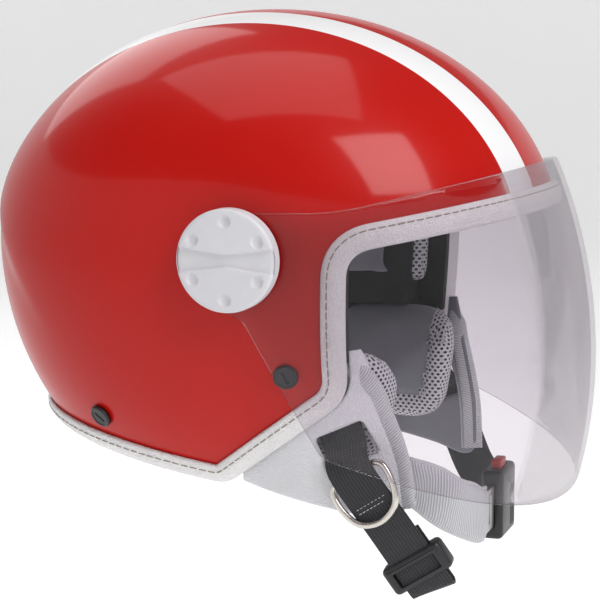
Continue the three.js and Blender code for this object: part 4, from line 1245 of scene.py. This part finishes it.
def skirt_edge_line(inset):
    """The skirt's front edge from under the jaw trim down to its front corner, moved inwards."""
    top, bulge, low, foot = ((c[0], c[1]) for c in SKIRT_OUTLINE[1:5])
    edge = spline(np.array([top, bulge, low, (foot[0] + 0.5, foot[1] + 7)], float), 16)
    along = unit_rows(np.gradient(edge, axis=0))
    rearwards = np.stack([along[:, 1], -along[:, 0]], 1)
    rearwards *= np.sign(-rearwards[:, :1])
    return (edge + rearwards * inset)[4:]


def lie_on(surface, line, depth):
    """Points of a side view line on a surface, with across and outward directions along it."""
    at = surface(line[:, 0], line[:, 1], depth)
    further = surface(line[:, 0], line[:, 1], depth - 1.0)
    along = unit_rows(np.gradient(at, axis=0))
    outwards = square_to(along, further - at)
    return at, np.cross(outwards, along), outwards


def skirt_binding(label, surface, middle):
    """Ribbed band sewn round the skirt's front edge, with thin piping where it meets the lining."""
    at, across, outwards = lie_on(surface, skirt_edge_line(3.6), middle)
    taper = np.minimum(1, 0.25 + np.linspace(0, 6, len(at)))
    points, faces, uv = sweep(at, across, outwards, oval(9.5, 5.6, 2.4, 28), np.stack([taper, taper], 1))
    piece = mesh_piece(f"skirt_binding_{label}", points, faces, [BINDING], (), "white_leather", uv=uv)
    at, across, outwards = lie_on(surface, skirt_edge_line(9.6), middle + SKIRT_THICKNESS / 2 - 0.1)
    points, faces, uv = sweep(at, across, outwards, oval(1.7, 1.7, 2, 10))
    mesh_piece(f"skirt_piping_{label}", points, faces, [WHITE_THREAD], (), "white_leather", uv=uv)


# ---- Strips along a route -----------------------------------------------------------------------


def spline(points, each):
    """A centripetal Catmull-Rom curve through points, with a number of steps between each two."""
    padded = np.concatenate([[2 * points[0] - points[1]], points, [2 * points[-1] - points[-2]]])
    curve = []
    for p0, p1, p2, p3 in zip(padded, padded[1:], padded[2:], padded[3:]):
        d0, d1, d2 = (max(np.linalg.norm(b - a), 1e-9) ** 0.5 for a, b in ((p0, p1), (p1, p2), (p2, p3)))
        t1 = ((p1 - p0) / d0 - (p2 - p0) / (d0 + d1) + (p2 - p1) / d1) * d1
        t2 = ((p2 - p1) / d1 - (p3 - p1) / (d1 + d2) + (p3 - p2) / d2) * d1
        for t in np.linspace(0, 1, each, endpoint=False):
            curve.append(p1 + t1 * t + (3 * (p2 - p1) - 2 * t1 - t2) * t ** 2
                         + (2 * (p1 - p2) + t1 + t2) * t ** 3)
    curve.append(points[-1])
    return np.array(curve)


def oval(width, height, power=2.0, count=24):
    """A closed cross-section; a higher power is squarer."""
    angles = np.linspace(0, 2 * math.pi, count, endpoint=False)
    c, s = np.cos(angles), np.sin(angles)
    return np.stack([
        width / 2 * np.sign(c) * np.abs(c) ** (2 / power),
        height / 2 * np.sign(s) * np.abs(s) ** (2 / power),
    ], 1)


def sweep(path, across, outwards, section, scale=None):
    """Points, faces and UVs in millimetres of a cross-section carried along a path."""
    scale = np.ones((len(path), 2)) if scale is None else scale
    travelled = distances_along(path)
    points, uv = [], []
    for i, at in enumerate(path):
        side = section[:, :1] * scale[i, 0]
        rise = section[:, 1:] * scale[i, 1]
        points.append(at + side * across[i] + rise * outwards[i])
        uv += [(s, travelled[i]) for s in section[:, 0]]
    faces = ring_faces(len(path), len(section)) + end_faces(len(path), len(section))
    return np.concatenate(points), faces, uv


def strip_frame(route, widths, each=10):
    """Path, across and outward directions of a flat strip whose width turns along its route."""
    path = spline(np.array(route, float), each)
    turning = spline(np.array(widths, float), each)
    along = unit_rows(np.gradient(path, axis=0))
    across = square_to(along, turning)
    return path, across, np.cross(along, across)


# ---- Chin strap ---------------------------------------------------------------------------------

TILTED = np.array([0, -math.cos(WEBBING_TILT), math.sin(WEBBING_TILT)])
UPRIGHT = np.array([0.0, 0.0, 1.0])
STRAP_DEPTH = SHELL_WALL + 0.3 + 1.8 + WEBBING_THICKNESS / 2


def at(side, out, forward, up):
    return np.array([side * out, -forward, up], float)


def unit(vector):
    return vector / np.linalg.norm(vector)


def strap_top(side):
    """The webbing's way from above the front rivet, inside the skirt and out through its slot."""
    forward, up = RIVETS["strap_rivet"]
    return [
        at(side, egg_half_width(forward - 4, up + 6, STRAP_DEPTH), forward - 4, up + 6),
        at(side, egg_half_width(forward, up, STRAP_DEPTH), forward, up),
        *(at(side, *place) for place in WAY_PAST_SKIRT),
        at(side, SLOT_OUT, *SLOT),
        at(side, STRAP_HANG_TOP[0] - 1, 43.6, -91.5),
        at(side, *STRAP_HANG_TOP),
    ]


def strap_top_widths(side):
    """Directions of the webbing's width at each place of strap_top()."""
    forward, up = RIVETS["strap_rivet"]
    reach = WEBBING_WIDTH / 2
    to_front = egg_half_width(forward - reach * TILTED[1], up + reach * TILTED[2])
    to_rear = egg_half_width(forward + reach * TILTED[1], up - reach * TILTED[2])
    flat = TILTED.copy()
    flat[0] = side * (to_front - to_rear) / WEBBING_WIDTH
    return [flat, flat, flat * 0.7 + TILTED * 0.3] + [TILTED] * 5


def turning_upright(shares):
    """Directions that turn from the hanging webbing's width to the buckle's."""
    return [TILTED * (1 - share) + UPRIGHT * share for share in shares]


HANG_TOP = at(-1, *STRAP_HANG_TOP)
FOLD = at(-1, *STRAP_FOLD)
STRAP_DOWN = unit(FOLD - HANG_TOP)
STRAP_ACROSS = unit(TILTED - (TILTED @ STRAP_DOWN) * STRAP_DOWN)
STRAP_OUT = unit(np.cross(STRAP_DOWN, STRAP_ACROSS))
STRAP_OUT = -STRAP_OUT if STRAP_OUT[0] > 0 else STRAP_OUT
RIBBON = oval(WEBBING_WIDTH, WEBBING_THICKNESS, 7, 44)


def strap_right():
    """Hanging webbing that folds up behind itself through the slider, with two rows of stitches."""
    route = strap_top(-1) + [(HANG_TOP + FOLD) / 2]
    centre = FOLD - STRAP_OUT * STRAP_FOLD_RADIUS
    for angle in np.linspace(0, math.pi, 5):
        turn = math.cos(angle) * STRAP_OUT + math.sin(angle) * STRAP_DOWN
        route.append(centre + STRAP_FOLD_RADIUS * turn)
    back = centre - STRAP_OUT * STRAP_FOLD_RADIUS
    route += [back - STRAP_DOWN * STRAP_RETURN / 2, back - STRAP_DOWN * STRAP_RETURN]
    widths = strap_top_widths(-1)
    widths += [TILTED] * (len(route) - len(widths))
    points, faces, uv = sweep(*strip_frame(route, widths), RIBBON)
    mesh_piece("strap_webbing_right", points, faces, [WEBBING], ["strap_right"], "black_webbing", uv=uv)
    for row, place in enumerate((17.0, 19.2)):
        middle = HANG_TOP + STRAP_DOWN * place + STRAP_OUT * (WEBBING_THICKNESS / 2 + 0.1)
        ends = [middle + STRAP_ACROSS * reach for reach in np.linspace(-8, 8, 9)]
        stitch_row(f"strap_bar_tack_{row}", np.array(ends), np.array([STRAP_OUT] * 9), WHITE_THREAD,
                   "black_webbing", pitch=2.0, length=1.3, radius=0.22)


def strap_left():
    """Webbing that runs down and forward into the outer end of the buckle."""
    x, y, z = BUCKLE_CENTRE
    buckle_end = x + BUCKLE_SIZE[0] / 2
    route = strap_top(1) + [at(1, *place) for place in WAY_TO_BUCKLE]
    route += [at(1, buckle_end + 2, -y, z), at(1, buckle_end - 4, -y, z)]
    widths = strap_top_widths(1) + turning_upright((0, 0.2, 0.5, 0.9, 1, 1))
    points, faces, uv = sweep(*strip_frame(route, widths), RIBBON)
    mesh_piece("strap_webbing_left", points, faces, [WEBBING], ["strap_left"], "black_webbing", uv=uv)


def chin_sleeve():
    """Padded sleeve under the chin: ribbed cover, piped along both edges, overlocked at its end."""
    _, y, z = BUCKLE_CENTRE
    route = [at(-1, *place) for place in WAY_OF_CHIN_SLEEVE] + [at(-1, 2, -y, z)]
    path, across, outwards = strip_frame(route, turning_upright((0, 0.1, 0.4, 0.8, 1, 1)), 16)
    share = np.linspace(0, 1, len(path))
    plump = 0.55 + 0.6 * np.minimum(1, np.minimum(share, 1 - share) / 0.12) ** 0.6
    scale = np.stack([np.ones(len(path)), plump], 1)
    points, faces, uv = sweep(path, across, outwards, oval(CHIN_WIDTH, CHIN_THICKNESS, 2.6, 48), scale)
    piece = mesh_piece("chin_sleeve", points, faces, [SLEEVE], ["chin_pad"], "pale_fabric", uv=uv)
    for edge, reach in (("upper", CHIN_WIDTH / 2), ("lower", -CHIN_WIDTH / 2)):
        line = path + across * reach
        more, skin, flat = sweep(line, across, outwards, oval(1.8, 1.8, 2, 12))
        mesh_piece(f"chin_piping_{edge}", more, skin, [WHITE_THREAD], (), "pale_fabric", uv=flat)
    overlock(path, across, outwards)


def overlock(path, across, outwards):
    """Rope-like edging: thread wound in slanting turns round the sleeve's wide end."""
    turns = 34
    section = oval(CHIN_WIDTH - 3, CHIN_THICKNESS * 0.62, 2.6, turns)
    ring = path[1] + section[:, :1] * across[1] + section[:, 1:] * outwards[1]
    along = unit(path[2] - path[1])
    winds = [capsule(here - along * 0.9, there + along * 1.3, 0.62, 8)
             for here, there in zip(ring, np.roll(ring, -1, 0))]
    mesh_piece("chin_sleeve_overlock", *joined(winds), [WHITE_THREAD], (), "pale_fabric")


def on_strap(points, down, proud):
    """Places points made as (across, down, outwards) on the hanging strap."""
    across = np.cross(STRAP_DOWN, STRAP_OUT)
    origin = HANG_TOP + STRAP_DOWN * down + STRAP_OUT * proud
    points = np.asarray(points, float)
    return origin + points[:, :1] * across + points[:, 1:2] * STRAP_DOWN + points[:, 2:] * STRAP_OUT


def d_ring():
    """Bent wire: a straight side that lies behind the webbing, and a bow that hangs below it."""
    half = RING_WIDTH / 2
    route = np.array([
        (half, 2.5, 0), (half, 12, 0), (half * 0.7, 20.5, 0), (0, RING_DROP, 0), (-half * 0.7, 20.5, 0),
        (-half, 12, 0), (-half, 2.5, 0), (-half + 2.5, 0, 0), (half - 2.5, 0, 0),
    ], float)
    count = len(route)
    loop = spline(np.concatenate([route[-2:], route, route[:3]]), 14)[2 * 14:(2 + count) * 14]
    clearance = WEBBING_THICKNESS / 2 + RING_WIRE + 0.3
    tilt = math.asin(2 * clearance / (RING_DROP - 5))
    along = unit_rows(np.roll(loop, -1, 0) - np.roll(loop, 1, 0))
    sideways = np.stack([along[:, 1], -along[:, 0], 0 * along[:, 0]], 1)
    sides = 20
    points = []
    for angle in np.linspace(0, 2 * math.pi, sides, endpoint=False):
        lifted = loop + RING_WIRE * math.cos(angle) * sideways
        lifted[:, 2] += RING_WIRE * math.sin(angle)
        points.append(lifted)
    points = np.stack(points, 1).reshape(-1, 3)
    turned = points.copy()
    turned[:, 1] = points[:, 1] * math.cos(tilt) - points[:, 2] * math.sin(tilt)
    turned[:, 2] = points[:, 1] * math.sin(tilt) + points[:, 2] * math.cos(tilt)
    faces = ring_faces(len(loop), sides, closed=True)
    mesh_piece("d_ring_wire", on_strap(turned, RING_DOWN, -clearance), faces, [NICKEL], ["d_ring"],
               "steel", "d_ring")


# ---- Moulded blocks -----------------------------------------------------------------------------


def block(name, size, bevel, made, segments=4):
    """A box about the origin with rounded edges, in millimetres of its own axes."""
    data = bpy.data.meshes.new(name)
    shape = bmesh.new()
    bmesh.ops.create_cube(shape, size=1.0)
    bmesh.ops.scale(shape, vec=Vector(size) * MM, verts=shape.verts)
    if bevel > 0:
        bmesh.ops.bevel(shape, geom=shape.edges[:], offset=bevel * MM, segments=segments, profile=0.5,
                        affect="EDGES")
    shape.to_mesh(data)
    shape.free()
    piece = bpy.data.objects.new(name, data)
    bpy.context.scene.collection.objects.link(piece)
    data.materials.append(made)
    smoothed(piece)
    return piece


def cut(piece, cutters):
    """Takes (size, place, bevel) boxes out of a block."""
    for size, place, bevel in cutters:
        tool = block("cutter", size, bevel, piece.data.materials[0])
        tool.location = Vector(place) * MM
        bpy.context.view_layer.update()
        away = piece.modifiers.new("away", "BOOLEAN")
        away.object = tool
        away.operation = "DIFFERENCE"
        away.solver = "EXACT"
        applied(piece)
        bpy.data.objects.remove(tool)
    smoothed(piece)


def soften(piece, width=0.35):
    """Small rounds on every edge sharper than 30 degrees."""
    rounds = piece.modifiers.new("rounds", "BEVEL")
    rounds.width = width * MM
    rounds.segments = 2
    rounds.limit_method = "ANGLE"
    rounds.angle_limit = math.radians(30)
    rounds.use_clamp_overlap = True
    applied(piece)
    smoothed(piece)
    return piece


def stand(piece, origin, x_axis, y_axis, z_axis):
    """Moves a block from its own axes to a place in the frame."""
    turn = Matrix([x_axis, y_axis, z_axis]).transposed().to_4x4()
    piece.data.transform(Matrix.Translation(Vector(origin) * MM) @ turn)


def slider():
    """Ladder lock: a rounded frame with two windows and a bar between the layers of webbing."""
    tunnel = (WEBBING_WIDTH + 1.3, 2 * STRAP_FOLD_RADIUS + WEBBING_THICKNESS + 0.9)
    size = (tunnel[0] + 8.6, SLIDER_LENGTH, tunnel[1] + 3.0)
    bar_height = 2 * STRAP_FOLD_RADIUS - WEBBING_THICKNESS - 0.6
    piece = block("slider_frame", size, 2.4, BLACK_PLASTIC)
    cut(piece, [
        ((tunnel[0], SLIDER_LENGTH + 4, tunnel[1]), (0, 0, 0), 0.6),
        ((tunnel[0], 7.5, tunnel[1]), (0, 0.6, tunnel[1] * 0.9), 0.8),
        ((tunnel[0] + 3.5, 1.0, 3), (0, -5.0, size[2] / 2 + 0.9), 0.3),
    ])
    soften(piece)
    down = float(np.linalg.norm(FOLD - HANG_TOP)) - SLIDER_ABOVE_FOLD - SLIDER_LENGTH / 2
    origin = HANG_TOP + STRAP_DOWN * down - STRAP_OUT * STRAP_FOLD_RADIUS
    axes = (np.cross(STRAP_DOWN, STRAP_OUT), STRAP_DOWN, STRAP_OUT)
    stand(piece, origin, *axes)
    register(piece, ["strap_slider"], "slider")
    bar = soften(block("slider_bar", (tunnel[0] + 1.0, 4.0, bar_height), 0.5, BLACK_PLASTIC, 2), 0.1)
    stand(bar, origin, *axes)
    register(bar, (), "slider")


def buckle():
    """Side release buckle: body with grip grooves, red release button and steel tongue."""
    length, depth, height = BUCKLE_SIZE
    piece = block("buckle_housing", BUCKLE_SIZE, 2.6, BLACK_PLASTIC)
    grooves = [((1.0, 1.2, 20), (3.5 + 2.4 * k, -depth / 2, -3), 0.25) for k in range(4)]
    cut(piece, [
        ((17, 3.2, WEBBING_WIDTH + 0.6), (-length / 2 + 7.5, 0, 0), 0.2),
        ((10, 2.7, WEBBING_WIDTH + 2.6), (length / 2, 0, 0), 0.4),
        ((12.6, 5.6, 11.6), (0, 0, height / 2), 0.3),
        *grooves,
    ])
    soften(piece, 0.3)
    stand(piece, BUCKLE_CENTRE, (1, 0, 0), (0, 1, 0), (0, 0, 1))
    register(piece, ["buckle_body"])
    low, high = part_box("release_button")
    size = tuple((high - low) / MM)
    button = block("release_button_cap", size, 1.1, RED_PLASTIC)
    cut(button, [((12, 0.7, 0.8), (0, 1.3 * k, size[2] / 2), 0.2) for k in (-1, 0, 1)])
    soften(button, 0.15)
    stand(button, (low + high) / 2 / MM, (1, 0, 0), (0, 1, 0), (0, 0, 1))
    register(button, ["release_button"], "release")
    low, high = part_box("buckle_tongue")
    size = tuple((high - low) / MM)
    tongue = block("buckle_tongue_plate", size, 0.7, STEEL)
    cut(tongue, [((4.0, 6.0, WEBBING_WIDTH - 8), (-size[0] / 2 + 6, 0, 0), 0.0)])
    soften(tongue, 0.3)
    stand(tongue, (low + high) / 2 / MM, (1, 0, 0), (0, 1, 0), (0, 0, 1))
    register(tongue, ["buckle_tongue"])


# ---- CAD pieces that stay -----------------------------------------------------------------------


def dress_frame():
    """Pieces whose CAD shape is right keep it and get their finish here."""
    finishes = {"eps_liner": FOAM}
    for label, _ in SIDES:
        finishes[f"pivot_screw_{label}"] = STEEL
        finishes[f"pivot_nut_{label}"] = STEEL
        finishes[f"friction_washer_{label}"] = BLACK_PLASTIC
        finishes[f"strap_rivet_washer_{label}"] = STEEL
        finishes[f"rear_rivet_washer_{label}"] = STEEL
    for name, made in finishes.items():
        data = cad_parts[name].data
        data.materials.clear()
        data.materials.append(made)


# ---- Floor, lights and camera -------------------------------------------------------------------

# Metres, from here on.
CAMERA_TARGET = Vector((-0.004902, 0.005569, -0.033141))
CAMERA_DISTANCE = 1.0
CAMERA_TURN = math.radians(72)        # from straight ahead of the wearer towards their right
CAMERA_RISE = math.radians(8)
CAMERA_LENS = 123.44                  # millimetres, on a sensor 36 wide
FLOOR_Z = -0.30
FLOOR_REACH = 2.8                     # flat as far as this, then it sweeps up all round
FLOOR_SWEEP = 1.2
FLOOR_WALL = 0.6                      # upright part above the sweep
LIGHTS = (                            # name, place, side of its square, watts
    ("key", (-1.0, -1.5, 1.6), 1.3, 38),
    ("top", (-0.1, 0.2, 1.9), 1.6, 15),
    ("rim", (1.1, 1.3, 1.2), 1.2, 10),
)


def floor():
    """White paper that sweeps up into a wall all round."""
    made = material("floor_white", (0.86, 0.86, 0.87), 0.9, Emission_Color=(1, 1, 1, 1),
                    Emission_Strength=0.3)
    tint(made, noise(made, 3, 3.0), (0.85, 0.85, 0.86), (0.88, 0.88, 0.88))
    profile = [(FLOOR_REACH, FLOOR_Z)]
    for angle in np.linspace(0, math.pi / 2, 14)[1:]:
        profile.append((FLOOR_REACH + FLOOR_SWEEP * math.sin(angle),
                        FLOOR_Z + FLOOR_SWEEP * (1 - math.cos(angle))))
    profile.append((FLOOR_REACH + FLOOR_SWEEP, FLOOR_Z + FLOOR_SWEEP + FLOOR_WALL))
    sides = 96
    points = [(r * math.cos(turn), r * math.sin(turn), z) for r, z in profile
              for turn in np.linspace(0, 2 * math.pi, sides, endpoint=False)]
    faces = [tuple(reversed(face)) for face in ring_faces(len(profile), sides)]
    faces.append(tuple(range(sides)))
    data = bpy.data.meshes.new("floor")
    data.from_pydata(points, [], faces)
    data.materials.append(made)
    ground = bpy.data.objects.new("floor", data)
    smoothed(ground)
    bpy.context.scene.collection.objects.link(ground)


def aim(thing, place, target):
    """Stands a light or a camera at a place, looking at a target."""
    turn = (target - place).to_track_quat("-Z", "Y").to_matrix().to_4x4()
    thing.matrix_world = Matrix.Translation(place) @ turn


def lights():
    """Three square lamps aimed at the middle of the helmet, in a dim white room."""
    world = bpy.data.worlds.new("studio")
    world.use_nodes = True
    backdrop = world.node_tree.nodes["Background"]
    backdrop.inputs["Color"].default_value = (1.0, 1.0, 1.0, 1)
    backdrop.inputs["Strength"].default_value = 0.15
    bpy.context.scene.world = world
    for name, place, size, power in LIGHTS:
        data = bpy.data.lights.new(name, "AREA")
        data.shape = "SQUARE"
        data.size = size
        data.energy = power
        lamp = bpy.data.objects.new(name, data)
        aim(lamp, Vector(place), Vector((0, 0, 0)))
        bpy.context.scene.collection.objects.link(lamp)


def camera():
    """The photograph's point of view."""
    data = bpy.data.cameras.new("camera")
    data.lens = CAMERA_LENS
    data.sensor_width = 36
    data.clip_start = 0.01
    made = bpy.data.objects.new("camera", data)
    back = Vector((
        -math.sin(CAMERA_TURN) * math.cos(CAMERA_RISE),
        -math.cos(CAMERA_TURN) * math.cos(CAMERA_RISE),
        math.sin(CAMERA_RISE),
    ))
    aim(made, CAMERA_TARGET + CAMERA_DISTANCE * back, CAMERA_TARGET)
    bpy.context.scene.collection.objects.link(made)
    bpy.context.scene.camera = made


def plain_colours():
    """Shows colours as they are, without the filmic curve that turns the red paint pink."""
    bpy.context.scene.view_settings.view_transform = "Standard"


# ---- Build --------------------------------------------------------------------------------------

shell()
trim()
visor()
crown_liner()
border_pads()
for side_label, side_sign in SIDES:
    knob(side_label, side_sign)
    rivet("strap_rivet", side_label, side_sign)
    rivet("rear_rivet", side_label, side_sign)
    cheek_pad(side_label, side_sign)
    skirt(side_label, side_sign)
strap_right()
strap_left()
chin_sleeve()
d_ring()
slider()
buckle()
dress_frame()
floor()
lights()
camera()
plain_colours()
